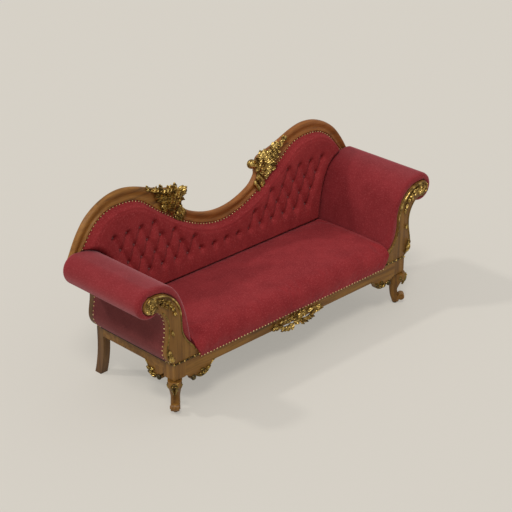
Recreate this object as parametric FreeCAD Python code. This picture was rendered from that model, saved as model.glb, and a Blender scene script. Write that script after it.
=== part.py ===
import FreeCAD, Part

import math
import os

# A double-ended upholstered couch on a carved show-wood frame, in millimetres. It is drawn with x to
# the right as seen from the front, y backwards from the front face of the arm facings, and z up from
# the floor. At the end everything is moved so that the origin is under the middle of the footprint.

Vec = FreeCAD.Vector
X_AXIS = Vec(1, 0, 0)
Y_AXIS = Vec(0, 1, 0)
Z_AXIS = Vec(0, 0, 1)

# Main sizes
half_span = 1000.0            # middle of the couch to the centre of an arm scroll
scroll_height = 660.0         # centre of an arm scroll above the floor
seat_frame_top = 290.0        # top of the legs' posts
arm_overhang = 133.0          # how far a scroll's centre stands outside the posts
back_plane = 586.0            # rear face of the back frame at its foot
back_lean = 3.0               # lean of the back, degrees

# Legs and seat rails
post_size = 78.0              # square posts over the front legs
post_bottom = 190.0
rail_thickness = 28.0
front_rail_bottom = 215.0
side_rail_bottom = 237.0
side_rail_gap = 3.0           # shadow gap between a side rail and the cover above it
cover_line = 266.0            # where the seat cover ends on the front rail
cover_rebate = 5.0            # depth of the rebate that the cover is nailed into
tenon_length = 30.0
tenon_thickness = 10.0
tenon_shoulder = 9.0
tenon_gap = 0.2
rear_leg_width = 45.0
rear_leg_depth = 47.0
rear_leg_rake = 34.0
front_bracket_length = 199.0
front_bracket_drop = 62.0
side_bracket_length = 140.0
side_bracket_drop = 80.0
bracket_roll_radius = 13.0    # the rolled end of a bracket, beside the leg
bracket_roll_chamfer = 2.0
peg_radius = 12.5
peg_height = 10.0
leg_lean_out = 13.0           # where the foot peg stands on the leg's diagonal
post_chamfer = 6.0            # round the post's lower end
toe_radius = 20.0
toe_width = 44.0
toe_reach = 45.0              # the toe's centre from the post's, along the diagonal
toe_height = 42.0
toe_chamfer = 3.0
toe_eye_radius = 9.0
toe_eye_stand = 4.0
peg_chamfer = 2.0

# Arms
facing_thickness = 22.0
volute_radius = 45.0
facing_foot = 175.0           # width of a facing where it stands on the post
roll_radius = 80.0
roll_lift = 5.0               # the roll's centre above the scroll's centre
roll_rail_radius = 30.0
panel_thickness = 5.0
tacking_rail_bottom = 318.0
tacking_rail_height = 42.0
tacking_rail_width = 30.0
tacking_rail_inset = 30.0     # from the posts' outer faces
pad_front = 8.0               # front end of the arm stuffing
soft_gap = 0.3                # between soft pieces and what they lie against

# Back
frame_thickness = 30.0        # crest rail and stiles
ledge_depth = 12.0            # the tacking ledge is this far behind the crest's face
ledge_height = 22.0
stile_width = 46.0
crest_dip_height = 668.0
crest_dip_width = 60.0
crest_peak_x = 650.0
crest_peak_height = 979.0
crest_peak_width = 68.0
knob_x = 250.0
knob_height = 848.0
knob_radius = 27.0
crest_foot_rise = 40.0        # joint between a stile and the crest rail, above the scroll's centre
crest_foot_inner = 10.0       # the joint's ends, inside and outside the scroll's centre
crest_foot_outer = 30.0
crest_rounding = 7.0          # along the crest's front upper edge
liner_rail_bottom = 330.0
liner_rail_height = 45.0
upright_x = 210.0
hump_upright_x = 560.0
upright_width = 45.0
back_strip_count = 5          # webbing strips each side of the middle one
back_strip_pitch = 120.0
back_backing = 3.0            # webbing, hessian and clearance behind the back stuffing
panel_lap = 20.0              # how far the outside cover laps over the nailed edge
back_pad_depth = 38.0         # stuffing in front of the frame
back_pad_bottom = 396.0
panel_inset = 14.0
cloth_thickness = 2.0

# Buttons of the back
button_pitch = 90.0
button_first_row = 505.0
button_row_rise = 83.0
button_radius = 8.0
button_height = 6.0
button_depth = 11.0           # how deep the buttons are pulled in
button_rows = [(0, 14), (5, 15), (8, 16), (11, 17)]   # first and last place of a row, in half pitches

# Seat
webbing_thickness = 1.5
webbing_width = 50.0
webbing_count_across = 11
webbing_count_along = 4
spring_columns = 6
spring_rows = 3
spring_turns = 3.5
spring_radius = 40.0
spring_waist = 24.0
spring_wire = 4.0
spring_sides = 8
hessian_height = 338.0
seat_crown = 398.0
seat_back_height = 390.0
seat_front_bulge = 14.0
seat_end_inset = 272.0        # from the scroll's centre to the seat's end
seat_tuck = 2.0               # how far the seat runs in under the back
cover_wrap = 2.0              # the cover stands this far in front of the rail at its nailed edge
crease_gap = 1.0

# Joinery hardware
dowel_radius = 5.0
dowel_length = 50.0
dowel_gap = 0.1
facing_dowel_pitch = 20.0     # also the first dowel's inset from the post's outer face
stile_dowel_pitch = 12.0
crest_foot_dowel = 3.0         # outside the scroll's centre
block_leg = 60.0
screw_radius = 2.5
screw_head_radius = 5.0
screw_head_length = 3.0
screw_length = 32.0
screw_bite = 14.0             # how far a screw's head stands off the rail
batten_size = 20.0

# Carving
carving_depth = 14.0
rail_carving_half_length = 195.0
bead_radius = 4.0
knee_boss_radius = 17.0
knee_boss_seat = 56.0         # its seat's floor from the post's centre, along the diagonal
knee_boss_length = 15.0
knee_boss_bevel = 5.0
knee_boss_drop = 20.0         # under the post

# Derived places
post_outer = half_span - arm_overhang
post_inner = post_outer - post_size
arm_rise = scroll_height - seat_frame_top
back_face = back_plane - frame_thickness
rear_leg_front = back_plane - 43.0
back_rail_bottom = side_rail_bottom - webbing_thickness
side_rail_top = seat_frame_top - side_rail_gap
crest_foot_height = scroll_height + crest_foot_rise
seat_half_width = half_span - seat_end_inset
parts = {}


def outline(start, *steps):
    """A closed wire in the XZ plane. A step of one point is a straight line, a step of more is a smooth
    curve through them, ("arc", middle, end) is a round stretch, and ("level", points) is a smooth curve that
    ends level, towards the left, and starts so if it follows another."""
    edges = []
    heading = None
    here = Vec(start[0], 0, start[1])
    for step in steps:
        if step[0] == "arc":
            middle = Vec(step[1][0], 0, step[1][1])
            end = Vec(step[2][0], 0, step[2][1])
            edges.append(Part.Arc(here, middle, end).toShape())
        elif step[0] == "level":
            points = [here] + [Vec(x, 0, z) for x, z in step[1]]
            end = points[-1]
            curve = Part.BSplineCurve()
            curve.interpolate(points, InitialTangent=heading or points[1] - here, FinalTangent=X_AXIS * -1)
            edges.append(curve.toShape())
            heading = X_AXIS * -1
        else:
            points = [here] + [Vec(x, 0, z) for x, z in step]
            end = points[-1]
            if len(points) == 2:
                edges.append(Part.makeLine(here, end))
            else:
                curve = Part.BSplineCurve()
                curve.interpolate(points)
                edges.append(curve.toShape())
        here = end
    first = Vec(start[0], 0, start[1])
    if here.distanceToPoint(first) > 1e-6:
        edges.append(Part.makeLine(here, first))
    return Part.Wire(edges)


def board(wire, front, back):
    """A flat board with the wire's outline, from y = front to y = back."""
    face = Part.Face(wire)
    face.translate(Vec(0, front, 0))
    return face.extrude(Vec(0, back - front, 0))


def block(x0, x1, y0, y1, z0, z1):
    return Part.makeBox(x1 - x0, y1 - y0, z1 - z0, Vec(x0, y0, z0))


def mirrored(shape):
    return shape.mirror(Vec(0, 0, 0), X_AXIS)


def leaned(shape):
    """Leans a piece of the back frame, drawn upright, about the foot of its rear face."""
    tilted = shape.copy()
    tilted.rotate(Vec(0, back_plane, seat_frame_top), X_AXIS, -back_lean)
    return tilted


def group(shapes):
    """Several separate solids in one node."""
    return shapes[0] if len(shapes) == 1 else Part.makeCompound(shapes)


def keep(name, shape):
    parts[name] = shape


def keep_pair(name, shape):
    parts["right_" + name] = shape
    parts["left_" + name] = mirrored(shape)


def arm_point(out, up):
    """A point of the arm's profile: out from the scroll's centre as a share of the arm's overhang, and up
    as a share of the arm's rise."""
    return (half_span + out * arm_overhang, seat_frame_top + up * arm_rise)


# The outer S of the arm, from the post to under the scroll
ARM_OUTER = [
    (-1.0, 0.0), (-0.85, 0.04), (-0.677, 0.13), (-0.632, 0.22), (-0.677, 0.33),
    (-0.744, 0.45), (-0.767, 0.57), (-0.714, 0.69), (-0.564, 0.79), (-0.338, 0.862),
]


def outer_curve():
    return [arm_point(out, up) for out, up in ARM_OUTER]


def behind_everything():
    """The space behind the front face of the leaning back frame, used to trim what runs up to it."""
    reach = 4 * half_span
    slab = block(-reach, reach, back_face, back_face + reach, -reach, reach)
    return leaned(slab)


# Seat frame -------------------------------------------------------------------------------------


DIAGONAL = Vec(1, -1, 0).normalize()
ACROSS = Vec(1, 1, 0).normalize()


def on_diagonal(out, height):
    """A point over the diagonal of the right front corner, out from the middle of its post."""
    return Vec(post_outer - post_size / 2, post_size / 2, height) + DIAGONAL * out


def diagonal_section(height, inner, outer, half_width):
    """One cross-section of the cabriole leg: a rounded square that points out along the diagonal of the
    corner. inner and outer are places on that diagonal, from the middle of the post."""
    centre = (inner + outer) / 2
    reach = (outer - inner) / 2
    middle = on_diagonal(0, height)
    points = []
    for step in range(8):
        angle = 2 * math.pi * step / 8
        c, s = math.cos(angle), math.sin(angle)
        squareness = 1.0 + 0.10 * abs(math.sin(2 * angle))
        points.append(middle + DIAGONAL * (centre + reach * c * squareness) + ACROSS * (half_width * s * squareness))
    curve = Part.BSplineCurve()
    curve.interpolate(points, PeriodicFlag=True)
    return Part.Wire(curve.toShape())


# The cabriole from the post down: height as a share of its rise, then inner, outer and half width as shares
# of the post's side
CABRIOLE = [
    (1.0, -0.397, 0.795, 0.462), (0.93, -0.372, 0.859, 0.462), (0.83, -0.333, 0.808, 0.436),
    (0.70, -0.308, 0.615, 0.397), (0.55, -0.295, 0.423, 0.346), (0.40, -0.269, 0.308, 0.308),
    (0.27, -0.231, 0.346, 0.308), (0.14, -0.154, 0.462, 0.308), (0.0, -0.051, 0.436, 0.244),
]


def toe_scroll():
    """The rolled toe: a drum across the leg's diagonal with a stepped eye at each end."""
    middle = on_diagonal(toe_reach, toe_height)
    drum = Part.makeCylinder(toe_radius, toe_width, middle - ACROSS * (toe_width / 2), ACROSS)
    drum = drum.makeChamfer(toe_chamfer, [edge for edge in drum.Edges if edge.Closed])
    eye_width = toe_width + 2 * toe_eye_stand
    eye = Part.makeCylinder(toe_eye_radius, eye_width, middle - ACROSS * (eye_width / 2), ACROSS)
    return drum.fuse(eye)


def cabriole_leg():
    """Square post, S-shaped leg and scroll toe, cut from one piece of wood."""
    rise = post_bottom - peg_height
    sections = [diagonal_section(peg_height + up * rise, a * post_size, b * post_size, w * post_size)
                for up, a, b, w in CABRIOLE]
    leg = Part.makeLoft(sections, True, False)
    post = block(post_inner, post_outer, 0, post_size, post_bottom, seat_frame_top)
    shoulder_edges = [e for e in post.Edges if e.BoundBox.ZMax < post_bottom + 1]
    post = post.makeChamfer(post_chamfer, shoulder_edges)
    leg = post.fuse([leg, toe_scroll()])
    leg = leg.cut([front_tenon(tenon_gap), side_tenon(tenon_gap), knee_boss(dowel_gap)])
    return leg.removeSplitter()


def knee_boss(gap=0.0):
    """A gilt boss let into the knee, or with a gap its seat, which is open to the front."""
    height = post_bottom - knee_boss_drop
    if gap > 0:
        return Part.makeCylinder(knee_boss_radius + gap, post_size, on_diagonal(knee_boss_seat, height), DIAGONAL)
    boss = Part.makeCylinder(knee_boss_radius, knee_boss_length, on_diagonal(knee_boss_seat, height), DIAGONAL)
    rim = max((edge for edge in boss.Edges if edge.Closed), key=lambda edge: edge.BoundBox.Center.x)
    return boss.makeChamfer(knee_boss_bevel, [rim])


def foot_pegs():
    """Turned pegs let into the toes, which carry the front of the couch."""
    peg = Part.makeCylinder(peg_radius, peg_height, on_diagonal(leg_lean_out, 0))
    return peg.makeChamfer(peg_chamfer, [e for e in peg.Edges if e.Closed and e.BoundBox.ZMax < 1])


def front_tenon(gap):
    """The front rail's tenon in the right post. The mortise is the same shape with the gap round it."""
    y0 = (rail_thickness - tenon_thickness) / 2
    low = front_rail_bottom + tenon_shoulder
    high = seat_frame_top - 2 * tenon_shoulder
    return block(post_inner, post_inner + tenon_length + gap, y0 - gap, y0 + tenon_thickness + gap,
                 low - gap, high + gap)


def side_tenon(gap):
    """The side rail's front tenon, in the rear face of the right post."""
    x1 = post_outer - (rail_thickness - tenon_thickness) / 2
    low = side_rail_bottom + tenon_shoulder
    high = side_rail_top - tenon_shoulder
    return block(x1 - tenon_thickness - gap, x1 + gap, post_size - tenon_length - gap, post_size,
                 low - gap, high + gap)


def side_rear_tenon(gap):
    x1 = post_outer - (rail_thickness - tenon_thickness) / 2
    low = side_rail_bottom + tenon_shoulder
    high = side_rail_top - tenon_shoulder
    return block(x1 - tenon_thickness - gap, x1 + gap, rear_leg_front, rear_leg_front + tenon_length / 2 + gap,
                 low - gap, high + gap)


def back_tenon(gap):
    """The back rail's tenon in the right rear leg."""
    y1 = back_plane - (rail_thickness - tenon_thickness) / 2
    inner = post_outer - rear_leg_width
    low = back_rail_bottom + tenon_shoulder
    high = seat_frame_top - tenon_shoulder
    return block(inner, inner + tenon_length / 2 + gap, y1 - tenon_thickness - gap, y1 + gap, low - gap, high + gap)


def rear_leg():
    """Straight at the rails and raked backwards below them."""
    front, rear = rear_leg_front, rear_leg_front + rear_leg_depth
    rake_top = 0.72 * seat_frame_top
    bend = 0.38 * seat_frame_top
    edges = [Part.makeLine(Vec(0, rear, rake_top), Vec(0, rear, seat_frame_top))]
    edges.append(Part.makeLine(Vec(0, rear, seat_frame_top), Vec(0, front, seat_frame_top)))
    edges.append(Part.makeLine(Vec(0, front, seat_frame_top), Vec(0, front, rake_top)))
    curves = []
    for y, foot in ((front, front + rear_leg_rake), (rear, rear + rear_leg_rake - 2)):
        curve = Part.BSplineCurve()
        curve.interpolate([Vec(0, y, rake_top), Vec(0, y + 0.22 * rear_leg_rake, bend), Vec(0, foot, 0)])
        curves.append(curve.toShape())
    edges.append(curves[0])
    edges.append(Part.makeLine(Vec(0, front + rear_leg_rake, 0), Vec(0, rear + rear_leg_rake - 2, 0)))
    edges.append(curves[1])
    face = Part.Face(Part.Wire(Part.__sortEdges__(edges)))
    face.translate(Vec(post_outer - rear_leg_width, 0, 0))
    leg = face.extrude(Vec(rear_leg_width, 0, 0))
    return leg.cut(side_rear_tenon(tenon_gap)).cut(back_tenon(tenon_gap))


def front_rail():
    """Show-wood rail with a rebate above the cover line between the arm facings."""
    rail = block(-post_inner, post_inner, 0, rail_thickness, front_rail_bottom, seat_frame_top)
    reach = post_outer - facing_foot
    rebate = block(-reach, reach, -1, cover_rebate, cover_line, seat_frame_top + 1)
    tenon = front_tenon(0)
    rail = rail.cut(rebate).fuse([tenon, mirrored(tenon)])
    return rail.removeSplitter()


def side_rail():
    rail = block(post_outer - rail_thickness, post_outer, post_size, rear_leg_front, side_rail_bottom, side_rail_top)
    return rail.fuse([side_tenon(0), side_rear_tenon(0)]).removeSplitter()


def back_rail():
    inner = post_outer - rear_leg_width
    rail = block(-inner, inner, back_plane - rail_thickness, back_plane, back_rail_bottom, seat_frame_top)
    tenon = back_tenon(0)
    return rail.fuse([tenon, mirrored(tenon)]).removeSplitter()


def bracket(length, drop):
    """A corner bracket in its own place: along the rail from the post, and down. A hollow springs from the
    rail into a lobe, whose inner end is rolled up beside the leg."""
    def at(u, v):
        return (u * length, -v * drop)
    hollow = ("arc", at(0.87, 0.24), at(0.79, 0.62))
    lobe = ("arc", at(0.56, 1.0), at(0.32, 0.68))
    arch = ("arc", at(0.14, 0.5), at(0, 0.25))
    ear = board(outline((0, 0), [at(1, 0)], hollow, lobe, arch), 0, rail_thickness)
    x, z = at(0.25, 0.76)
    depth = rail_thickness + 2 * bracket_roll_chamfer
    roll = Part.makeCylinder(bracket_roll_radius, depth, Vec(x, -bracket_roll_chamfer, z), Y_AXIS)
    roll = roll.makeChamfer(bracket_roll_chamfer, [edge for edge in roll.Edges if edge.Closed])
    return ear.fuse(roll)


def front_bracket():
    """The shaped ear under the front rail, beside the leg."""
    ear = mirrored(bracket(front_bracket_length, front_bracket_drop))
    ear.translate(Vec(post_inner, 0, front_rail_bottom))
    return ear


def side_bracket():
    """The same ear under the side rail, with its outer face flush with the post."""
    ear = bracket(side_bracket_length, side_bracket_drop)
    ear.rotate(Vec(0, 0, 0), Z_AXIS, 90)
    ear.translate(Vec(post_outer, post_size, side_rail_bottom))
    return ear


def batten():
    """A batten inside the front rail that carries the ends of the webbing."""
    y0 = rail_thickness
    top = back_rail_bottom + batten_size
    return block(-post_inner, post_inner, y0, y0 + batten_size, back_rail_bottom, top)


def glue_block(corners):
    """A corner block of the seat frame, from the batten's height up to the side rail's top."""
    bottom = back_rail_bottom + batten_size
    points = [Vec(x, y, bottom) for x, y in corners]
    face = Part.Face(Part.makePolygon(points + points[:1]))
    return face.extrude(Z_AXIS * (side_rail_top - bottom))


def front_glue_block():
    y0 = rail_thickness
    return glue_block([(post_inner, y0), (post_inner - block_leg, y0), (post_inner, post_size)])


def rear_glue_block():
    """Notched round the rear leg, so that it meets the leg, the back rail and the side rail."""
    leg_x = post_outer - rear_leg_width
    rail_x = post_outer - rail_thickness
    rail_y = back_plane - rail_thickness
    return glue_block([
        (leg_x, rail_y), (leg_x - block_leg, rail_y), (rail_x, rear_leg_front - block_leg),
        (rail_x, rear_leg_front), (leg_x, rear_leg_front),
    ])


def block_screw(x, y, way, gap):
    """A screw through a corner block into the rail; way is 1 backwards and -1 forwards. With a gap it is
    the hole, which has a counterbore behind the head."""
    z = (back_rail_bottom + batten_size + side_rail_top) / 2
    base = Vec(x, y, z)
    along = Y_AXIS * way
    head = Part.makeCylinder(screw_head_radius + gap, screw_head_length + gap, base - along * gap, along)
    shank = Part.makeCylinder(screw_radius + gap, screw_length + gap, base, along)
    if gap == 0:
        return head.fuse(shank)
    bore = Part.makeCylinder(screw_head_radius + gap, block_leg, base - along * block_leg, along)
    return bore.fuse([head, shank])


def block_screws(gap):
    """The two right-hand screws, front and rear."""
    front = block_screw(post_inner - block_leg / 3, rail_thickness + screw_bite, -1, gap)
    rear_x = post_outer - rear_leg_width - block_leg / 2
    rear = block_screw(rear_x, back_plane - rail_thickness - screw_bite, 1, gap)
    return [front, rear]


# Arms -------------------------------------------------------------------------------------------


def facing_wire(gap=0.0):
    """The front board of an arm: an S that ends in a volute. With a gap it is the room that stuffing
    leaves round the board."""
    radius = volute_radius + gap
    top = (half_span, scroll_height + radius)
    bottom = (half_span, scroll_height - radius)
    tip = (half_span + radius, scroll_height)
    inner_foot = (post_outer - facing_foot - gap, seat_frame_top)
    shoulder = [
        arm_point(-0.805, 1.06), arm_point(-1.218, 0.919), arm_point(-1.459, 0.703), arm_point(-1.519, 0.432),
        arm_point(-1.729, 0.278), arm_point(-2.09, 0.13),
    ]
    inner = [(half_span - 1.11 * volute_radius, top[1] - 0.02 * volute_radius)] + [(x - gap, z + gap) for x, z in shoulder] + [inner_foot]
    outer = [(x + gap, z) for x, z in outer_curve()]
    return outline(inner_foot, [outer[0]], outer[1:] + [bottom], ("arc", tip, top), inner)


def dowel(x, y, z, direction, gap=0.0):
    """A dowel centred on a joint, or with a gap its hole."""
    length = dowel_length + 2 * gap
    base = Vec(x, y, z) - direction * (length / 2)
    return Part.makeCylinder(dowel_radius + gap, length, base, direction)


def facing_dowels(gap=0.0):
    """Two dowels between the facing and the post under it."""
    y = facing_thickness / 2
    insets = (facing_dowel_pitch, 2 * facing_dowel_pitch)
    return [dowel(post_outer - inset, y, seat_frame_top, Z_AXIS, gap) for inset in insets]


def facing():
    board_shape = board(facing_wire(), 0, facing_thickness)
    for hole in facing_dowels(dowel_gap):
        board_shape = board_shape.cut(hole)
    return board_shape


def roll_rail():
    """The round rail inside the roll, from the facing to the back frame."""
    base = Vec(half_span, facing_thickness, scroll_height + roll_lift)
    rail = Part.makeCylinder(roll_rail_radius, back_plane, base, Y_AXIS)
    return rail.cut(behind_everything())


def tacking_rail():
    """The lower rail that the arm's lining and stuffing are tacked to."""
    x0 = post_outer - tacking_rail_inset - tacking_rail_width
    rail = block(x0, x0 + tacking_rail_width, facing_thickness, back_plane, tacking_rail_bottom,
                 tacking_rail_bottom + tacking_rail_height)
    return rail.cut(behind_everything())


def arm_face():
    """The stuffed inner face of an arm, from the seat up to the top of the roll."""
    centre_z = scroll_height + roll_lift
    return [
        arm_point(-2.03, 0.149), arm_point(-1.955, 0.297), arm_point(-1.865, 0.486), arm_point(-1.744, 0.689),
        arm_point(-1.511, 0.919), arm_point(-1.128, 1.115),
        (half_span - 0.975 * roll_radius, centre_z + 0.8875 * roll_radius),
        (half_span, centre_z + roll_radius),
    ]


def arm_pad_wire():
    """The arm's stuffing, rolled over its rail: inner face, roll, and the underside."""
    centre_z = scroll_height + roll_lift
    tip = (half_span + roll_radius, centre_z)
    return_angle = math.radians(225)
    landing = (half_span + roll_radius * math.cos(return_angle), centre_z + roll_radius * math.sin(return_angle))
    inside = [
        arm_point(-0.752, 0.90), arm_point(-1.053, 0.83), arm_point(-1.233, 0.73), arm_point(-1.398, 0.57),
        arm_point(-1.496, 0.405), arm_point(-1.564, 0.284), arm_point(-1.654, 0.149),
    ]
    face = arm_face()
    return outline(face[0], face[1:], ("arc", tip, landing), inside)


def arm_pad():
    """Closed stuffing round the roll rail, with its front end standing round the facing."""
    pad = board(arm_pad_wire(), pad_front, back_plane)
    centre = Vec(half_span, 0, scroll_height + roll_lift)
    hole = Part.makeCylinder(roll_rail_radius + soft_gap, back_plane, centre + Y_AXIS * facing_thickness, Y_AXIS)
    recess = board(facing_wire(2 * soft_gap), 0, facing_thickness + soft_gap)
    rear = behind_everything()
    rear.translate(Vec(0, -soft_gap, 0))
    return pad.cut([hole, recess, rear] + arm_webbing(soft_gap))


def outside_panel():
    """The cover of the arm's outer side, following the S of the facing up to the roll."""
    points = outer_curve()[1:-1]
    start = (post_outer, seat_frame_top + soft_gap)
    ends = []
    for angle in (230.2, 226.6):
        turn = math.radians(angle)
        reach = roll_radius + soft_gap
        ends.append((half_span + reach * math.cos(turn), scroll_height + roll_lift + reach * math.sin(turn)))
    inner = [(x - panel_thickness, z) for x, z in reversed(points)]
    foot = (start[0] - panel_thickness, start[1])
    wire = outline(start, points, ends[:1], ends[1:], inner[:1], inner[1:] + [foot])
    return board(wire, facing_thickness, back_plane).cut(behind_everything())


def arm_webbing(gap=0.0):
    """Three webbing strips from the tacking rail to the roll rail, or with a gap their slots in the arm's
    stuffing."""
    low = (post_outer - tacking_rail_inset - tacking_rail_width, tacking_rail_bottom + tacking_rail_height)
    high = (half_span - roll_rail_radius - 2 * webbing_thickness, scroll_height + roll_lift + gap)
    path = [low, arm_point(-1.451, 0.40), arm_point(-1.323, 0.57), arm_point(-1.113, 0.73),
            arm_point(-0.842, 0.85), high]
    behind = [(x + 2 * webbing_thickness + gap, z) for x, z in reversed(path)]
    path = [(x - gap, z) for x, z in path]
    wire = outline(path[0], path[1:], [behind[0]], behind[1:])
    strips = []
    for share in (0.2, 0.5, 0.8):
        y = facing_thickness + share * (back_face - facing_thickness)
        strips.append(board(wire, y - webbing_width / 2 - gap, y + webbing_width / 2 + gap))
    return strips


# Back -------------------------------------------------------------------------------------------


def crest_outer(along, down):
    """A point of the outer shoulder: along from the peak to the arm, down towards the crest's foot."""
    drop = crest_peak_height - crest_foot_height
    return (crest_peak_x + along * (half_span - crest_peak_x), crest_peak_height - down * drop)


def crest_inner(along, up):
    """A point between the scroll over the dip and the peak."""
    rise = crest_peak_height - knob_height
    return (knob_x + along * (crest_peak_x - knob_x), knob_height + up * rise)


def crest_dip(along, up):
    """A point of the dip's upper edge: along from the middle to the scroll, up from the dip's floor."""
    return (along * knob_x, crest_dip_height + up * (knob_height - crest_dip_height))


def fabric_inner(along, down):
    """A point of the crest's lower edge, where the cover is nailed, from the peak in to the middle."""
    top = crest_peak_height - crest_peak_width
    return (along * crest_peak_x, top - down * (top - crest_dip_height + crest_dip_width))


def fabric_outer(along, down):
    """A point of the crest's lower edge from the peak out to the arm."""
    top = crest_peak_height - crest_peak_width
    return (crest_peak_x + along * (half_span - crest_peak_x), top - down * (top - crest_foot_height))


CREST_SHOULDER = [(1.014, 0.839), (0.943, 0.677), (0.857, 0.516), (0.714, 0.312), (0.571, 0.183), (0.286, 0.032)]
CREST_SCROLL = [(0.75, 0.832), (0.575, 0.641), (0.375, 0.435), (0.175, 0.282)]
CREST_DIP = [(1.112, 0.689), (1.07, 0.567), (0.96, 0.4), (0.8, 0.267), (0.4, 0.067)]
FABRIC_DIP = [(0.4615, 0.67), (0.3077, 0.845), (0.1538, 0.957)]
FABRIC_RISE = [(0.615, 0.449), (0.692, 0.333), (0.769, 0.2), (0.846, 0.086), (0.923, 0.026)]
FABRIC_SHOULDER = [(0.143, 0.0), (0.286, 0.024), (0.429, 0.1), (0.571, 0.242), (0.686, 0.431), (0.8, 0.678)]


def crest_joint():
    """Upper and lower end of the joint between the middle and an outer piece of the crest rail."""
    return crest_dip(1.104, 0.761), fabric_inner(0.523, 0.587)


def crest_foot():
    """Inner and outer end of the joint between the crest rail and a stile."""
    return (half_span - crest_foot_inner, crest_foot_height), (half_span + crest_foot_outer, crest_foot_height)


def flipped(points):
    """The same points on the left, in the opposite order."""
    return [(-x, z) for x, z in reversed(points)]


def fabric_line(lift=0.0):
    """The nailed edge of the back cover, from the right foot of the crest over to the left one."""
    right = [crest_foot()[0]]
    right += [fabric_outer(a, d) for a, d in reversed(FABRIC_SHOULDER)]
    right += [fabric_inner(a, d) for a, d in reversed(FABRIC_RISE)]
    right += [crest_joint()[1]] + [fabric_inner(a, d) for a, d in FABRIC_DIP]
    middle = [fabric_inner(0.0, 1.0)]
    return [(x, z + lift) for x, z in right + middle + flipped(right)]


def crest_side_wire(lift=0.0):
    """The right hump: nailed edge, foot, top edge, scroll over the dip, joint."""
    upper, lower = crest_joint()
    foot_in, foot_out = crest_foot()
    nailed = [fabric_inner(a, d) for a, d in FABRIC_RISE] + [fabric_outer(a, d) for a, d in FABRIC_SHOULDER]
    nailed = [(x, z + lift) for x, z in nailed] + [foot_in]
    shoulder = [crest_outer(a, d) for a, d in CREST_SHOULDER] + [(crest_peak_x, crest_peak_height)]
    slope = [crest_inner(a, u) for a, u in CREST_SCROLL] + [(knob_x, knob_height + knob_radius)]
    turn = math.radians(-60)
    knob_end = (knob_x + knob_radius * math.cos(turn), knob_height + knob_radius * math.sin(turn))
    knob = ("arc", (knob_x - knob_radius, knob_height), knob_end)
    return outline((lower[0], lower[1] + lift), nailed, [foot_out], ("level", shoulder), ("level", slope), knob,
                   [upper], [lower])


def crest_middle_wire(lift=0.0):
    """The dip between the humps, from joint to joint."""
    upper, lower = crest_joint()
    top = [crest_dip(a, u) for a, u in CREST_DIP]
    nailed = [(lower[0], lower[1] + lift)] + [(x, z + lift) for x, z in (fabric_inner(a, d) for a, d in FABRIC_DIP)]
    bottom = flipped(nailed)[::-1][1:] + [(0, fabric_inner(0.0, 1.0)[1] + lift)] + nailed[::-1]
    rail_top = top + [(0, crest_dip_height)] + flipped(top) + [(-upper[0], upper[1])]
    return outline(lower, [upper], rail_top, [(-lower[0], lower[1])], [(-lower[0], lower[1] + lift)], bottom)


def below_fabric(lift, front, back):
    """A slab with the shape of the back opening: under the nailed edge, down to the seat frame."""
    line = fabric_line(lift)
    wire = outline(line[0], line[1:], [(line[-1][0], seat_frame_top)], [(line[0][0], seat_frame_top)])
    return board(wire, front, back)


def beside_arms(gap):
    """Everything outside the inner faces of the two arm pads and under the tops of their rolls."""
    reach = 2 * half_span
    top = scroll_height + roll_lift + roll_radius + gap
    face = [(x - gap, z) for x, z in arm_face()]
    wire = outline((face[0][0], 0), [face[0]], face[1:-1] + [(half_span, top)], [(reach, top)], [(reach, 0)])
    side = board(wire, -reach, reach)
    return side, mirrored(side)


def crest_piece(wire):
    """A piece of the crest rail with its tacking ledge, which lies behind the face under the nailed edge. The
    front edge of its top is rounded."""
    rail = board(wire, back_face, back_plane)
    front = [edge for edge in rail.Edges if edge.BoundBox.YMax < back_face + 0.1]
    top = max(front, key=lambda edge: edge.BoundBox.ZMax)
    rail = rail.makeFillet(crest_rounding, [top])
    return rail.cut(below_fabric(0.0, back_face - 1, back_face + ledge_depth))


def crest_dowels(gap=0.0):
    """Two dowels across the right joint of the crest rail, and one into the stile."""
    upper, lower = crest_joint()
    y = (back_face + ledge_depth + back_plane) / 2
    along = Vec(lower[0] - upper[0], 0, lower[1] - upper[1])
    across = Vec(-along.z, 0, along.x).normalize()
    places = [(upper[0] + along.x * share, upper[1] + along.z * share) for share in (0.33, 0.67)]
    joint = [dowel(x, y, z, across, gap) for x, z in places]
    return joint + [dowel(half_span + crest_foot_dowel, y, crest_foot_height, Z_AXIS, gap)]


def stile_wire():
    """A back stile: the arm's S again, narrower, up to the foot of the crest rail."""
    foot_in, foot_out = crest_foot()
    outside = outer_curve()[1:] + [(half_span, scroll_height - volute_radius)]
    outside += [(half_span + volute_radius - 2, scroll_height), foot_out]
    inside = [
        arm_point(-0.526, 1.03), arm_point(-0.865, 0.905), arm_point(-1.068, 0.757), arm_point(-1.143, 0.568),
        arm_point(-1.068, 0.378), arm_point(-0.992, 0.243), arm_point(-1.075, 0.11),
        (post_outer - stile_width, seat_frame_top),
    ]
    return outline((post_outer - stile_width, seat_frame_top), [arm_point(-1.0, 0.0)], outside, [foot_in], inside)


def stile_dowels(gap=0.0):
    y = back_plane - frame_thickness / 2
    insets = (stile_dowel_pitch, 2 * stile_dowel_pitch)
    return [dowel(post_outer - inset, y, seat_frame_top, Z_AXIS, gap) for inset in insets]


def liner_rail():
    """The lower rail of the back, between the stiles."""
    top = liner_rail_bottom + liner_rail_height
    rail = block(-half_span, half_span, back_face + ledge_depth, back_plane, liner_rail_bottom, top)
    stile = board(stile_wire(), back_face - 1, back_plane + 1)
    outer = block(post_outer - stile_width, 2 * half_span, back_face, back_plane, 0, 2 * crest_peak_height)
    return rail.cut([stile, mirrored(stile), outer, mirrored(outer)])


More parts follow.
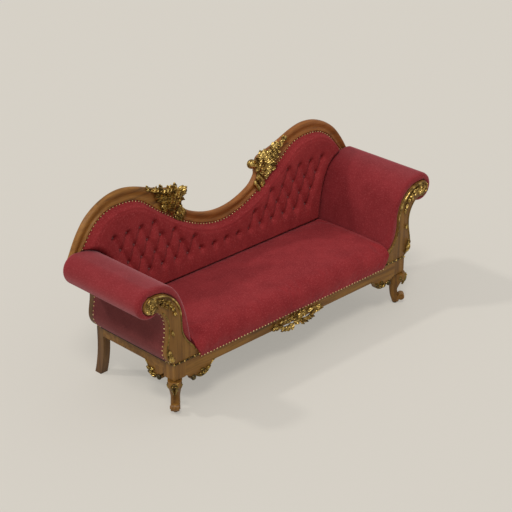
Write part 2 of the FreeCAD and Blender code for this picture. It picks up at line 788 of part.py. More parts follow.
def back_uprights():
    """Four uprights from the liner rail to the ledge of the crest rail."""
    opening = below_fabric(-ledge_height, back_face + ledge_depth, back_plane)
    uprights = []
    for x in (-hump_upright_x, -upright_x, upright_x, hump_upright_x):
        low = liner_rail_bottom + liner_rail_height
        tall = block(x - upright_width / 2, x + upright_width / 2, back_face + ledge_depth, back_plane,
                     low, crest_peak_height)
        uprights.append(tall.common(opening))
    return uprights


def back_layer(front, back, lift, bottom):
    """A layer of the back's upholstery: the shape of the opening, between the arms."""
    layer = below_fabric(lift, front, back)
    under = block(-2 * half_span, 2 * half_span, front - 1, back + 1, 0, bottom)
    return layer.cut([under, *beside_arms(crease_gap)])


def back_webbing():
    """Upright webbing strips from the liner rail to the crest's ledge."""
    face = back_face + ledge_depth
    opening = below_fabric(-soft_gap, face - webbing_thickness, face)
    strips = []
    for step in range(-back_strip_count, back_strip_count + 1):
        x = step * back_strip_pitch
        tall = block(x - webbing_width / 2, x + webbing_width / 2, face - webbing_thickness, face,
                     liner_rail_bottom, crest_peak_height)
        strips.append(tall.common(opening))
    return strips


def button_places():
    """The buttons' centres, row by row: alternate rows stand half a pitch apart."""
    places = set()
    for row, (first, last) in enumerate(button_rows):
        height = button_first_row + row * button_row_rise
        for step in range(first, last + 1, 2):
            x = step * button_pitch / 2
            places.add((x, height))
            places.add((-x, height))
    return sorted(places, key=lambda place: (place[1], place[0]))


def button(x, z):
    """A covered button: an eight-sided cushion with a sloping rim."""
    face = back_face - back_pad_depth + button_depth
    rings = []
    for radius, y in ((button_radius, face), (button_radius, face - button_height / 2),
                      (button_radius / 2, face - button_height)):
        corners = [Vec(x + radius * math.cos(math.radians(a)), y, z + radius * math.sin(math.radians(a)))
                   for a in range(0, 361, 45)]
        rings.append(Part.makePolygon(corners))
    return Part.makeLoft(rings, True, True)


def back_buttons():
    return [leaned(button(x, z)) for x, z in button_places()]


def back_pad():
    """The stuffed and buttoned back, with a seat for each button."""
    front = back_face - back_pad_depth
    pad = back_layer(front, back_face + ledge_depth - back_backing, -soft_gap, back_pad_bottom)
    seats = [block(x - button_radius - 1, x + button_radius + 1, front - 1, front + button_depth + soft_gap,
                   z - button_radius - 1, z + button_radius + 1) for x, z in button_places()]
    return pad.cut(seats)


def outside_back():
    """The cover of the back's outside, from stile to stile and up over the nailed edge."""
    top = fabric_line(panel_lap)
    foot = (post_outer - panel_inset, seat_frame_top + soft_gap)
    right = [foot] + [(x - panel_inset, z) for x, z in outer_curve()[1:]]
    turn = (half_span - panel_inset, (right[-1][1] + top[0][1]) / 2)
    left = flipped(right)
    wire = outline(top[0], top[1:], flipped([turn]) + left[:1], left[1:], [foot], right[1:], [turn, top[0]])
    return board(wire, back_plane, back_plane + cloth_thickness)


# Seat -------------------------------------------------------------------------------------------


def seat_wire():
    """Section of the seat's stuffing and cover, drawn in the YZ plane."""
    rear = back_face + seat_tuck
    under = hessian_height + 1 + soft_gap
    top = seat_frame_top + soft_gap
    front = cover_rebate - soft_gap
    rise = seat_crown - cover_line
    bulge = seat_front_bulge
    here = (-cover_wrap, cover_line + soft_gap)
    edges = [Part.makeLine(Vec(0, front, here[1]), Vec(0, *here))]
    rounds = [
        ((-bulge, cover_line + 0.36 * rise), (0.57 * bulge, seat_crown - 0.242 * rise)),
        ((2.6 * bulge, seat_crown - 0.095 * rise), (5.0 * bulge, seat_crown - 0.038 * rise)),
        ((rear / 2, seat_crown), (rear, seat_back_height)),
    ]
    for middle, end in rounds:
        edges.append(Part.Arc(Vec(0, *here), Vec(0, *middle), Vec(0, *end)).toShape())
        here = end
    lip = rail_thickness + 2
    flat = [(rear, under + 8), (rear - 12, under), (lip + 32, under), (lip, top), (front, top), (front, cover_line + soft_gap)]
    for point in flat:
        edges.append(Part.makeLine(Vec(0, *here), Vec(0, *point)))
        here = point
    return Part.Wire(edges)


def seat_pad():
    """The sprung seat's stuffing and cover, rolled over the front rail and fitted between the arms."""
    face = Part.Face(seat_wire())
    face.translate(Vec(-seat_half_width, 0, 0))
    pad = face.extrude(Vec(2 * seat_half_width, 0, 0))
    reach = post_outer - facing_foot - soft_gap
    front = -2 * seat_front_bulge
    foot = block(reach, half_span, front, facing_thickness + soft_gap, 0, seat_frame_top + soft_gap)
    end = board(facing_wire(2 * soft_gap), front, facing_thickness + soft_gap)
    side = end.fuse(foot)
    pad = pad.cut([side, mirrored(side)])
    return pad


def spring_path():
    """The centre line of one hourglass coil spring, in short straight lengths."""
    low = side_rail_bottom + spring_wire / 2
    height = hessian_height - spring_wire - side_rail_bottom
    steps = int(spring_turns * spring_sides)
    points = []
    for step in range(steps + 1):
        share = step / steps
        angle = 2 * math.pi * spring_turns * share
        radius = spring_waist + (spring_radius - spring_waist) * (2 * share - 1) ** 2
        points.append(Vec(radius * math.cos(angle), radius * math.sin(angle), low + height * share))
    return Part.makePolygon(points)


def spring_grid():
    """Centres of the springs: columns along the couch, rows from front to back."""
    across = 2 * seat_half_width / spring_columns
    first_row = rail_thickness + batten_size + spring_radius + 22
    last_row = back_plane - rail_thickness - spring_radius - 26
    places = []
    for column in range(spring_columns):
        for row in range(spring_rows):
            y = first_row + row * (last_row - first_row) / (spring_rows - 1)
            places.append((-seat_half_width + across * (column + 0.5), y))
    return places


def seat_springs():
    path = spring_path()
    start = path.Vertexes[0].Point
    heading = (path.Vertexes[1].Point - start).normalize()
    side = heading.cross(Z_AXIS).normalize() * (spring_wire / 2)
    rise = side.cross(heading).normalize() * (spring_wire / 2)
    profile = Part.makePolygon([start + side, start + rise, start - side, start - rise, start + side])
    spring = path.makePipeShell([profile], True, False, 1)
    springs = []
    for x, y in spring_grid():
        copy = spring.copy()
        copy.translate(Vec(x, y, 0))
        springs.append(copy)
    return springs


def seat_webbing():
    """Crossed webbing under the springs, tacked to the batten, the rails and each other."""
    strips = []
    reach = post_outer - rail_thickness
    for step in range(webbing_count_along):
        y = spring_grid()[0][1] + step * (spring_grid()[-1][1] - spring_grid()[0][1]) / (webbing_count_along - 1)
        strips.append(block(-reach, reach, y - webbing_width / 2, y + webbing_width / 2,
                            side_rail_bottom - webbing_thickness, side_rail_bottom))
    span = 2 * (post_inner - webbing_width)
    for step in range(webbing_count_across):
        x = -span / 2 + span * step / (webbing_count_across - 1)
        strips.append(block(x - webbing_width / 2, x + webbing_width / 2, rail_thickness, back_plane - 8,
                            back_rail_bottom - webbing_thickness, back_rail_bottom))
    return strips


def seat_hessian():
    return block(-seat_half_width, seat_half_width, rail_thickness + 30, back_face, hessian_height, hessian_height + 1)


def dust_cover():
    top = back_rail_bottom - webbing_thickness
    return block(-post_inner, post_inner, rail_thickness, back_plane - 4, top - 1, top)


# Carving ----------------------------------------------------------------------------------------


def relief(discs, face, back):
    """Rounded bosses that stand forward of a face: (x, z, radius, height)."""
    bosses = []
    for x, z, radius, height in discs:
        boss = Part.makeCylinder(radius, back - face + height, Vec(x, back, z), Y_AXIS * -1)
        front = [edge for edge in boss.Edges if edge.Closed and edge.BoundBox.YMax < face]
        bosses.append(boss.makeChamfer(height / 2, front))
    return bosses


def leafwork(points, bulge, face, back, depth):
    """Scalloped carving in two steps on a face: a round lobe on each length of the closed line of points,
    which runs clockwise, and the same form smaller in front of it."""
    middle_x = sum(x for x, z in points) / len(points)
    middle_z = sum(z for x, z in points) / len(points)
    layers = []
    for size, front, rear in ((1.0, face - depth / 2, back), (0.74, face - depth, face)):
        corners = [(middle_x + size * (x - middle_x), middle_z + size * (z - middle_z)) for x, z in points]
        lobes = []
        for (x0, z0), (x1, z1) in zip(corners, corners[1:] + corners[:1]):
            crown = ((x0 + x1) / 2 - bulge * (z1 - z0), (z0 + z1) / 2 + bulge * (x1 - x0))
            lobes.append(("arc", crown, (x1, z1)))
        layers.append(board(outline(corners[0], *lobes), front, rear))
    return layers[0].fuse(layers[1])


# Edge of the leafwork round a crest scroll, from the scroll's centre in shares of its radius
CREST_LEAVES = [
    (-1.06, 0.0), (-0.05, 1.12), (1.3, 1.2), (2.6, 1.37), (4.07, 1.72), (5.56, 2.11), (7.04, 2.59), (8.52, 3.11),
    (8.07, 1.33), (6.59, -0.37), (4.81, -1.78), (3.15, -2.96), (1.41, -3.56), (0.74, -2.33), (0.81, -1.33),
]
# Edges of the leaves on an arm facing: along its shoulder and over its foot, as points of the arm's profile
SHOULDER_LEAVES = [
    (-1.40, 0.70), (-1.31, 0.81), (-1.17, 0.91), (-0.98, 0.985), (-0.76, 1.045), (-0.54, 1.09), (-0.34, 1.10),
    (-0.36, 1.02), (-0.57, 1.0), (-0.78, 0.945), (-0.96, 0.865), (-1.11, 0.77), (-1.22, 0.68),
]
FOOT_LEAVES = [(-0.98, 0.06), (-0.97, 0.16), (-0.84, 0.27), (-0.73, 0.19), (-0.76, 0.07)]


def crest_carving():
    """Leaf and scroll work over the inner end of the hump and down its face, lapped over its upper edge."""
    points = [(knob_x + out * knob_radius, knob_height + up * knob_radius) for out, up in CREST_LEAVES]
    leaves = leafwork(points, 0.25, back_face, back_face + frame_thickness / 2, carving_depth)
    knob = relief([(knob_x, knob_height, 0.8 * knob_radius, 1.3 * carving_depth)], back_face, back_face + 1)
    wires = (crest_side_wire(-ledge_height), crest_middle_wire(-ledge_height))
    rails = [board(wire, back_face, back_plane) for wire in wires]
    return leaves.fuse(knob).cut(rails)


def facing_carving():
    """An eye on the volute, leaves along the shoulder and a cluster over the foot."""
    depth = 0.6 * carving_depth
    eye = relief([(half_span, scroll_height, 0.72 * volute_radius, depth)], 0, 0.0)
    shoulder = leafwork([arm_point(*place) for place in SHOULDER_LEAVES], 0.3, 0, 0.0, depth)
    cluster = leafwork([arm_point(*place) for place in FOOT_LEAVES], 0.4, 0, 0.0, depth)
    return group(eye + [shoulder, cluster])


def rail_carving():
    """The shell on the middle of the front rail, with a scalloped lower edge."""
    reach = rail_carving_half_length
    middle = (front_rail_bottom + cover_line) / 2
    upper = []
    for share in (-1.0, -0.62, -0.21, 0.21, 0.62, 1.0):
        upper.append((share * reach, middle - 1.3 * carving_depth * share ** 2))
    lower = []
    for step in range(3, -4, -1):
        lower.append((0.25 * step * reach, front_rail_bottom - (0.7 - 0.07 * step ** 2) * carving_depth))
    return leafwork(upper + lower, 0.22, 0, 0.0, carving_depth)


def post_bead():
    """A half-round bead round the two outer faces, under the arm facing."""
    z = seat_frame_top - bead_radius
    start = post_outer - facing_foot
    front = Part.makeCylinder(bead_radius, facing_foot + bead_radius, Vec(start, 0, z), X_AXIS)
    side = Part.makeCylinder(bead_radius, post_size + bead_radius, Vec(post_outer, -bead_radius, z), Y_AXIS)
    body = block(0, post_outer, 0, back_plane, 0, 2 * seat_frame_top)
    corner = block(post_outer, 2 * half_span, 0, 2 * post_size, 0, 2 * seat_frame_top)
    front = front.cut([body, corner])
    side = side.cut(body)
    return front.fuse(side.cut(block(0, post_outer, -post_size, 0, 0, 2 * seat_frame_top)))


# Assembly ---------------------------------------------------------------------------------------


def build_seat_frame():
    screws = block_screws(0.0)
    holes = block_screws(dowel_gap)
    both_holes = holes + [mirrored(hole) for hole in holes]
    peg_holes = facing_dowels(dowel_gap)
    leg = cabriole_leg().cut(peg_holes)
    keep_pair("front_leg", leg)
    keep_pair("foot_peg", foot_pegs())
    keep_pair("rear_leg", rear_leg().cut([leaned(hole) for hole in stile_dowels(dowel_gap)]))
    keep("front_seat_rail", front_rail().cut(both_holes))
    keep("back_seat_rail", back_rail().cut(both_holes))
    keep_pair("side_rail", side_rail())
    keep_pair("front_bracket", front_bracket())
    keep_pair("side_bracket", side_bracket())
    keep("webbing_batten", batten())
    blocks = [front_glue_block().cut(holes), rear_glue_block().cut(holes)]
    keep("corner_blocks", group(blocks + [mirrored(b) for b in blocks]))
    keep("corner_block_screws", group(screws + [mirrored(s) for s in screws]))
    keep_pair("knee_carving", knee_boss())
    keep_pair("post_bead", post_bead())
    keep("rail_carving", rail_carving())


def build_arms():
    keep_pair("arm_facing", facing())
    keep_pair("arm_roll_rail", roll_rail())
    keep_pair("arm_tacking_rail", tacking_rail())
    keep_pair("arm_webbing", group(arm_webbing()))
    keep_pair("arm_pad", arm_pad())
    keep_pair("outside_arm_panel", outside_panel())
    keep_pair("facing_carving", facing_carving())


def build_back():
    holes = crest_dowels(dowel_gap)
    side = crest_piece(crest_side_wire(-ledge_height)).cut(holes)
    middle = crest_piece(crest_middle_wire(-ledge_height)).cut(holes + [mirrored(hole) for hole in holes])
    stile = board(stile_wire(), back_face, back_plane).cut(holes[2])
    foot_holes = [leaned(hole) for hole in stile_dowels(dowel_gap)]
    keep_pair("crest_rail", leaned(side))
    keep("crest_rail_middle", leaned(middle))
    keep_pair("back_stile", leaned(stile).cut(foot_holes))
    keep_pair("crest_carving", leaned(crest_carving()))
    joints = [leaned(pin) for pin in crest_dowels()]
    feet = facing_dowels() + [leaned(pin) for pin in stile_dowels()]
    keep("crest_dowels", group(joints + [mirrored(pin) for pin in joints]))
    keep("frame_dowels", group(feet + [mirrored(pin) for pin in feet]))
    keep("back_liner_rail", leaned(liner_rail()))
    keep("back_uprights", group([leaned(piece) for piece in back_uprights()]))
    keep("back_webbing", group([leaned(piece) for piece in back_webbing()]))
    face = back_face + ledge_depth - webbing_thickness
    keep("back_hessian", leaned(back_layer(face - 1, face, -soft_gap, liner_rail_bottom)))
    keep("back_pad", leaned(back_pad()))
    keep("back_buttons", group(back_buttons()))
    keep("outside_back", leaned(outside_back()))


def build_seat():
    keep("seat_webbing", group(seat_webbing()))
    keep("seat_springs", group(seat_springs()))
    keep("seat_hessian", seat_hessian())
    keep("seat_pad", seat_pad())
    keep("dust_cover", dust_cover())


build_seat_frame()
build_arms()
build_back()
build_seat()

whole = Part.makeCompound(list(parts.values())).BoundBox
os.makedirs("parts", exist_ok=True)
for name, shape in parts.items():
    shape.translate(Vec(0, -(whole.YMin + whole.YMax) / 2, 0))
    shape.exportStep("parts/" + name + ".step")
    print(name, len(shape.Solids), round(shape.Volume / 1000), "cm3", shape.isValid())
print("size", round(whole.XLength), round(whole.YLength), round(whole.ZLength), "middle", round(whole.Center.y, 2))
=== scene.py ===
# %% [markdown]
# # A double-ended couch, dressed for the camera
# The joiner's and upholsterer's pieces come ready made as a fixed frame, at their real size and in metres.
# This lesson gives them their finishes and replaces the plain stand-ins for stuffing, moulding and carving with
# modelled ones. Every new piece is placed from the frame, so nothing has to be fitted afterwards.

# %% Load the frame
import math

import bmesh
import bpy
import numpy as np
from mathutils import Matrix, Vector


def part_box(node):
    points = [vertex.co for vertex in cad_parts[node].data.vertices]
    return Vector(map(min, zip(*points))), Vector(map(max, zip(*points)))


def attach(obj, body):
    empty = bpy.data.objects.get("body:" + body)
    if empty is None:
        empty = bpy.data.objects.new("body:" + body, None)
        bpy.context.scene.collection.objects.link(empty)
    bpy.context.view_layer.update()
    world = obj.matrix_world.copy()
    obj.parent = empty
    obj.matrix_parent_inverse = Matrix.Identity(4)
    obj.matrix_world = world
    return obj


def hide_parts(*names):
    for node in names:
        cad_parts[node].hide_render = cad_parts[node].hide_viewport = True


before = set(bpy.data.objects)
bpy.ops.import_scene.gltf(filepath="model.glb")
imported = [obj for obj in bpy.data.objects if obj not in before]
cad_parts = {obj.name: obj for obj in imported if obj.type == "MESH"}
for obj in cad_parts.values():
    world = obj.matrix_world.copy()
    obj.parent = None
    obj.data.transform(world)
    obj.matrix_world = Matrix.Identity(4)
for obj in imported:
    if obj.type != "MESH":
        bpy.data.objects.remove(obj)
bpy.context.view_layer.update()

# %% [markdown]
# Most outlines of the couch are drawn on a vertical plane: x to the right and z up, in metres from the middle of
# the floor. Depth is counted backwards from the front face of the arm facings, as a joiner would mark it on a rod,
# so one value turns a depth on the rod into a y of the frame.

# %% Places read from the frame
VOLUTE_R = 0.045
FRAME_THICK = 0.030
SCROLL_REACH = 0.133

facing_low, facing_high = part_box("right_arm_facing")
front_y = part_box("left_arm_facing")[0].y
HALF_SPAN = facing_high.x - VOLUTE_R
SCROLL_Z = facing_high.z - VOLUTE_R
FRAME_TOP = facing_low.z
POST_OUTER = HALF_SPAN - SCROLL_REACH
BACK_PLANE = 0.586
BACK_FACE = BACK_PLANE - FRAME_THICK
LEAN = math.radians(3.0)
ROLL_Z = SCROLL_Z + 0.005
ROLL_R = 0.080
SOFT_GAP = 0.0004
print("facing plane", round(front_y, 4), "scroll centre", round(HALF_SPAN, 4), round(SCROLL_Z, 4))


def rod(x, depth, z):
    """A point from its depth behind the facings."""
    return Vector((x, front_y + depth, z))


def leaned(depth, z):
    """A depth and a height of the upright back, leaned about the foot of its rear face."""
    up, behind = z - FRAME_TOP, depth - BACK_PLANE
    leaned_depth = BACK_PLANE + behind * math.cos(LEAN) + up * math.sin(LEAN)
    return leaned_depth, FRAME_TOP + up * math.cos(LEAN) - behind * math.sin(LEAN)


def on_back(x, depth, z):
    """A point of the leaning back."""
    return rod(x, *leaned(depth, z))


# %% [markdown]
# Shading is easier to read as arithmetic than as a web of boxes. `Value` wraps a socket, so that `a * b + 0.2`
# adds the Math nodes by itself, and `Shading` makes any other node from its type, its settings and its inputs.

# %% Shader arithmetic


class Value:
    """A node's output that takes part in sums."""

    def __init__(self, shading, socket):
        self.shading = shading
        self.socket = socket

    def _math(self, operation, first, second):
        return self.shading.node("ShaderNodeMath", {"operation": operation}, {0: first, 1: second})

    def __add__(self, other):
        return self._math("ADD", self, other)

    __radd__ = __add__

    def __sub__(self, other):
        return self._math("SUBTRACT", self, other)

    def __rsub__(self, other):
        return self._math("SUBTRACT", other, self)

    def __mul__(self, other):
        return self._math("MULTIPLY", self, other)

    __rmul__ = __mul__

    def at_least(self, other):
        return self._math("MAXIMUM", self, other)

    def clamp(self):
        """The value held between 0 and 1."""
        return self._math("MINIMUM", self.at_least(0.0), 1.0)


class Shading:
    """The nodes of a material or of the world, made from their type, settings and inputs."""

    def __init__(self, owner, output):
        self.owner = owner
        owner.use_nodes = True
        self.tree = owner.node_tree
        self.tree.nodes.clear()
        self.out = self.tree.nodes.new(output)

    def put(self, socket, value):
        if isinstance(value, Value):
            self.tree.links.new(value.socket, socket)
        else:
            socket.default_value = value

    def node(self, kind, settings=None, inputs=None, output=0):
        made = self.tree.nodes.new(kind)
        for key, value in (settings or {}).items():
            setattr(made, key, value)
        for key, value in (inputs or {}).items():
            self.put(made.inputs[key], value)
        return Value(self, made.outputs[output])

    def seen_directly(self):
        """1 for what the camera sees, plainly, in a reflection or through something clear, and 0 for light."""
        camera, glossy, clear = (
            self.node("ShaderNodeLightPath", output=f"Is {ray} Ray") for ray in ("Camera", "Glossy", "Transmission")
        )
        return camera.at_least(glossy).at_least(clear)

    def show(self, shader):
        self.put(self.out.inputs["Surface"], shader)

    def show_two(self, share, first, second):
        """Shows a mix of two shaders."""
        self.show(self.node("ShaderNodeMixShader", inputs={0: share, 1: first, 2: second}))


class Finish(Shading):
    """A material with one Principled shader."""

    def __init__(self, name):
        super().__init__(bpy.data.materials.new(name), "ShaderNodeOutputMaterial")
        self.principled = self.tree.nodes.new("ShaderNodeBsdfPrincipled")
        self.shader = Value(self, self.principled.outputs[0])
        self.show(self.shader)

    def place(self, scale=(1, 1, 1)):
        """Object coordinates, stretched."""
        here = self.node("ShaderNodeTexCoord", output="Object")
        return self.node("ShaderNodeMapping", inputs={"Vector": here, "Scale": scale})

    def noise(self, vector, scale, detail=4.0, roughness=0.5, distortion=0.0):
        inputs = {"Vector": vector, "Scale": scale, "Detail": detail, "Roughness": roughness, "Distortion": distortion}
        return self.node("ShaderNodeTexNoise", inputs=inputs)

    def mix(self, share, first, second):
        """A colour between two colours."""
        first, second = ((*shade, 1) if isinstance(shade, tuple) else shade for shade in (first, second))
        return self.node("ShaderNodeMix", {"data_type": "RGBA"}, {0: share, 6: first, 7: second}, output=2)

    def ramp(self, share, stops):
        """A colour read off a scale, from the stops' positions and shades."""
        colour = self.node("ShaderNodeValToRGB", inputs={"Fac": share})
        elements = colour.socket.node.color_ramp.elements
        for place, (position, shade) in enumerate(stops):
            stop = elements[place] if place < 2 else elements.new(position)
            stop.position, stop.color = position, (*shade, 1)
        return colour

    def bump(self, height, strength, distance):
        return self.node("ShaderNodeBump", inputs={"Height": height, "Strength": strength, "Distance": distance})

    def set(self, **sockets):
        """Sets the shader's own sockets: base_color=..., roughness=... and so on."""
        for name, value in sockets.items():
            title = name.replace("_", " ").title().replace("Ior", "IOR")
            value = (*value, 1) if isinstance(value, tuple) and len(value) == 3 else value
            self.put(self.principled.inputs[title], value)
        return self.owner


# %% [markdown]
# The room is a seamless pale floor, soft studio light and the camera. The floor and the backdrop have one colour,
# and the backdrop's is seen only by the camera and in reflections, so it adds no light of its own.

# %% Floor and backdrop
FLOOR_COLOUR = (0.672, 0.636, 0.568)
FLOOR_GLOW = 0.5
FLOOR_HALF = 40.0


def add_object(name, data):
    made = bpy.data.objects.new(name, data)
    bpy.context.scene.collection.objects.link(made)
    return made


def make_floor():
    """A matt floor that glows a little for the camera alone, which keeps the couch's shadow pale."""
    finish = Finish("studio_floor")
    finish.set(base_color=FLOOR_COLOUR, roughness=0.9, specular_ior_level=0.1)
    glow = finish.node("ShaderNodeEmission", inputs={"Color": (*FLOOR_COLOUR, 1)})
    finish.show_two(finish.seen_directly() * FLOOR_GLOW, finish.shader, glow)
    bm, mesh = bmesh.new(), bpy.data.meshes.new("floor")
    bmesh.ops.create_grid(bm, x_segments=2, y_segments=2, size=FLOOR_HALF)
    bm.to_mesh(mesh)
    bm.free()
    mesh.materials.append(finish.owner)
    add_object("floor", mesh)


make_floor()

# %% [markdown]
# A long lens from the front left, about 26 degrees above the floor, looks along the couch's diagonal.

# %% Camera
CAMERA_AZIMUTH = math.radians(-44.77)
CAMERA_ELEVATION = math.radians(25.99)
CAMERA_ON_ROD = (-5.3255, -5.0658, 4.1684)

camera_data = bpy.data.cameras.new("camera")
camera_data.lens = 111.25
camera_data.sensor_width = 36.0
camera_data.clip_end = 200.0
camera = add_object("camera", camera_data)
camera.location = rod(*CAMERA_ON_ROD)
camera.rotation_euler = (math.pi / 2 - CAMERA_ELEVATION, 0.0, CAMERA_AZIMUTH)
bpy.context.scene.camera = camera

# %% [markdown]
# The light is that of a studio with pale walls: an even sky for the shadows' colour, a large soft lamp behind the
# camera, and a smaller one behind the couch on the left, which rims the arms and throws a faint shadow forwards to
# the right.

# %% Light
SKY_LIGHT = (0.95, 0.96, 1.0)
SKY_STRENGTH = 0.535
LAMPS = {
    "front_window": dict(azimuth=-137, elevation=57, strength=1.20, spread=16, colour=(1.0, 0.97, 0.92)),
    "rear_window": dict(azimuth=136, elevation=47, strength=0.76, spread=5, colour=(1.0, 0.98, 0.95)),
}


def make_lamp(name, azimuth, elevation, strength, spread, colour):
    data = bpy.data.lights.new(name, "SUN")
    data.energy = strength
    data.color = colour
    data.angle = math.radians(spread)
    turn, rise = math.radians(azimuth), math.radians(elevation)
    towards = Vector((math.cos(turn) * math.cos(rise), math.sin(turn) * math.cos(rise), math.sin(rise)))
    add_object(name, data).rotation_euler = towards.to_track_quat("Z", "Y").to_euler()


def make_sky():
    world = bpy.data.worlds.new("studio")
    bpy.context.scene.world = world
    sky = Shading(world, "ShaderNodeOutputWorld")
    light = sky.node("ShaderNodeBackground", inputs={"Color": (*SKY_LIGHT, 1), "Strength": SKY_STRENGTH})
    backdrop = sky.node("ShaderNodeBackground", inputs={"Color": (*FLOOR_COLOUR, 1)})
    sky.show_two(sky.seen_directly(), light, backdrop)


for name, lamp in LAMPS.items():
    make_lamp(name, **lamp)
make_sky()
print("lamps", ", ".join(LAMPS))
bpy.context.scene.view_settings.view_transform = "Standard"

# %% [markdown]
# ** Walnut show-wood.** The frame is waxed golden-brown walnut. Its grain runs along each member, so the same finish
# is made with the grain lying along x and standing along z. The front has been toned golden, the crest is redder and
# the rear legs are darker. The left hump of the crest has a paler copy of the crest's walnut, which is painted light.
# Broad bands come from stretched noise, fine pores from a tighter one, and a slow noise darkens the wax in patches.

# %% Walnut
GOLDEN = ((0.250, 0.118, 0.020), (0.185, 0.080, 0.012), (0.085, 0.036, 0.006))
REDDER = ((0.305, 0.106, 0.021), (0.240, 0.078, 0.014), (0.112, 0.038, 0.007))
# Paler crest tones for the left hump alone: painted light on that end of the crest.
PAINTED_LIGHT_CREST = ((0.300, 0.128, 0.022), (0.235, 0.094, 0.014), (0.105, 0.042, 0.007))
REAR_TONES = ((0.165, 0.082, 0.022), (0.120, 0.052, 0.014), (0.055, 0.024, 0.007))


def walnut(name, along, tones):
    """Walnut whose grain is stretched along one axis, from its light, middle and dark tones."""
    light, middle, dark = tones
    finish = Finish(name)
    stretch = tuple(0.9 if axis == along else 14.0 for axis in range(3))
    grain = finish.noise(finish.place(stretch), 2.6, 6.0, 0.62, 0.35)
    pores_place = finish.place(tuple(6.0 if axis == along else 260.0 for axis in range(3)))
    pores = finish.noise(pores_place, 1.0, 3.0, 0.6)
    patches = finish.noise(finish.place(), 6.5, 2.0)
    wood = finish.ramp(grain, [(0.30, dark), (0.62, light), (0.46, middle)])
    pore_mask = ((0.46 - pores) * 7.0).clamp()
    wood = finish.mix(pore_mask * 0.45, wood, dark)
    wood = finish.mix(((patches - 0.5) * 1.6).clamp(), wood, dark)
    roughness = 0.40 + patches * 0.22
    normal = finish.bump(pores + grain * 0.6, 0.18, 0.0006)
    return finish.set(
        base_color=wood, roughness=roughness, normal=normal, specular_ior_level=0.28, coat_weight=0.05,
        coat_roughness=0.3,
    )


walnut_lying = walnut("walnut_lying", 0, GOLDEN)
walnut_standing = walnut("walnut_standing", 2, GOLDEN)
walnut_crest = walnut("walnut_crest", 0, REDDER)
walnut_crest_painted_light = walnut("walnut_crest_painted_light", 0, PAINTED_LIGHT_CREST)
walnut_rear = walnut("walnut_rear", 2, REAR_TONES)

# %% [markdown]
# **Gilding.** The carving is gilded over a red-brown ground. Real leaf is bright on the high spots, rubbed thin on
# the edges and dirty in the hollows, so the metal and the dirt are mixed by noise at two sizes.

# %% Gilding
GOLD_BRIGHT = (0.66, 0.475, 0.155)
GOLD_DEEP = (0.225, 0.132, 0.030)
GILT_DIRT = (0.045, 0.028, 0.007)


def gilding(name, bright, deep, dirt):
    finish = Finish(name)
    broad = finish.noise(finish.place(), 38.0, 3.0, 0.6)
    fine = finish.noise(finish.place(), 210.0, 2.0, 0.6)
    leaf = finish.mix(((broad - 0.44) * 5.0).clamp(), deep, bright)
    grime = ((0.50 - fine) * 6.0 + (0.46 - broad) * 3.0).clamp() * dirt
    colour = finish.mix(grime, leaf, GILT_DIRT)
    normal = finish.bump(fine + broad, 0.35, 0.0012)
    roughness = 0.24 + grime * 0.42 + fine * 0.12
    return finish.set(base_color=colour, metallic=0.92 - grime * 0.6, roughness=roughness, normal=normal)


gilt = gilding("gilding", GOLD_BRIGHT, GOLD_DEEP, 1.0)
old_gold = gilding("old_gold", (0.34, 0.23, 0.06), (0.15, 0.095, 0.022), 1.0)
# A dark copy of the gilding, for the bracket rolls and the dark beads.
dark_gilt = gilding("dark_gilding", (0.20, 0.15, 0.06), (0.045, 0.036, 0.016), 1.0)
brass = gilding("brass_nails", (0.80, 0.62, 0.34), (0.55, 0.38, 0.16), 0.45)

# %% [markdown]
# ** Crimson velvet.** The cover is a close crimson pile. Up close it shows a fine cross-weave and slubs; from a
# distance it pales where it faces away from the eye, which the shader's sheen gives. The copies for the arms, the
# back, the buttons and the outside cloths are lighter or darker than the seat's, which is painted light and shade.

# %% Velvet
CRIMSON = (0.290, 0.022, 0.025)
CRIMSON_DARK = (0.205, 0.011, 0.014)
CRIMSON_PALE = (0.410, 0.064, 0.065)


def velvet(name, dark, mid, pale, lustre=0.0, sheen=0.22):
    finish = Finish(name)
    pile = finish.noise(finish.place(), 9.0, 4.0, 0.6)
    slubs = finish.noise(finish.place((1.0, 1.0, 5.0)), 120.0, 3.0, 0.65)
    slubs_across = finish.noise(finish.place((6.0, 1.0, 1.0)), 90.0, 3.0, 0.65)
    weave = finish.noise(finish.place(), 520.0, 2.0, 0.5)
    flecks = finish.noise(finish.place(), 150.0, 2.0, 0.7)
    colour = finish.mix(((pile - 0.35) * 2.2).clamp(), dark, mid)
    colour = finish.mix(((flecks - 0.56) * 8.0).clamp() * 0.55, colour, pale)
    colour = finish.mix(((0.43 - flecks) * 8.0).clamp() * 0.6, colour, dark)
    lift = ((slubs - 0.52) * 3.0).clamp() + ((slubs_across - 0.54) * 3.0).clamp()
    colour = finish.mix(lift * 0.55, colour, pale)
    colour = finish.mix(((0.45 - weave) * 3.0).clamp() * 0.5, colour, dark)
    normal = finish.bump(weave * 0.7 + slubs * 0.5 + slubs_across * 0.5, 0.45, 0.0011)
    return finish.set(
        base_color=colour, roughness=0.78 - lustre * 0.4 + weave * 0.15, normal=normal, sheen_weight=sheen,
        sheen_roughness=0.42, sheen_tint=(0.95, 0.52, 0.55), specular_ior_level=0.2 + lustre * 0.6,
    )


crimson = velvet("crimson_velvet", CRIMSON_DARK, CRIMSON, CRIMSON_PALE)
# The arms' copy is darker: painted shade for their inner faces. Its stronger sheen is the shader's.
crimson_arm_painted_shade = velvet("crimson_arm_painted_shade", (0.185, 0.011, 0.014), (0.255, 0.021, 0.025), (0.360, 0.062, 0.064), sheen=0.42)
# The back's copy has lighter colours and brighter pale flecks: painted light and painted highlights on the buttoned
# back.
crimson_back_painted_light = velvet("crimson_back_painted_light", (0.220, 0.014, 0.016), (0.315, 0.027, 0.028), (0.480, 0.090, 0.086), sheen=0.05)
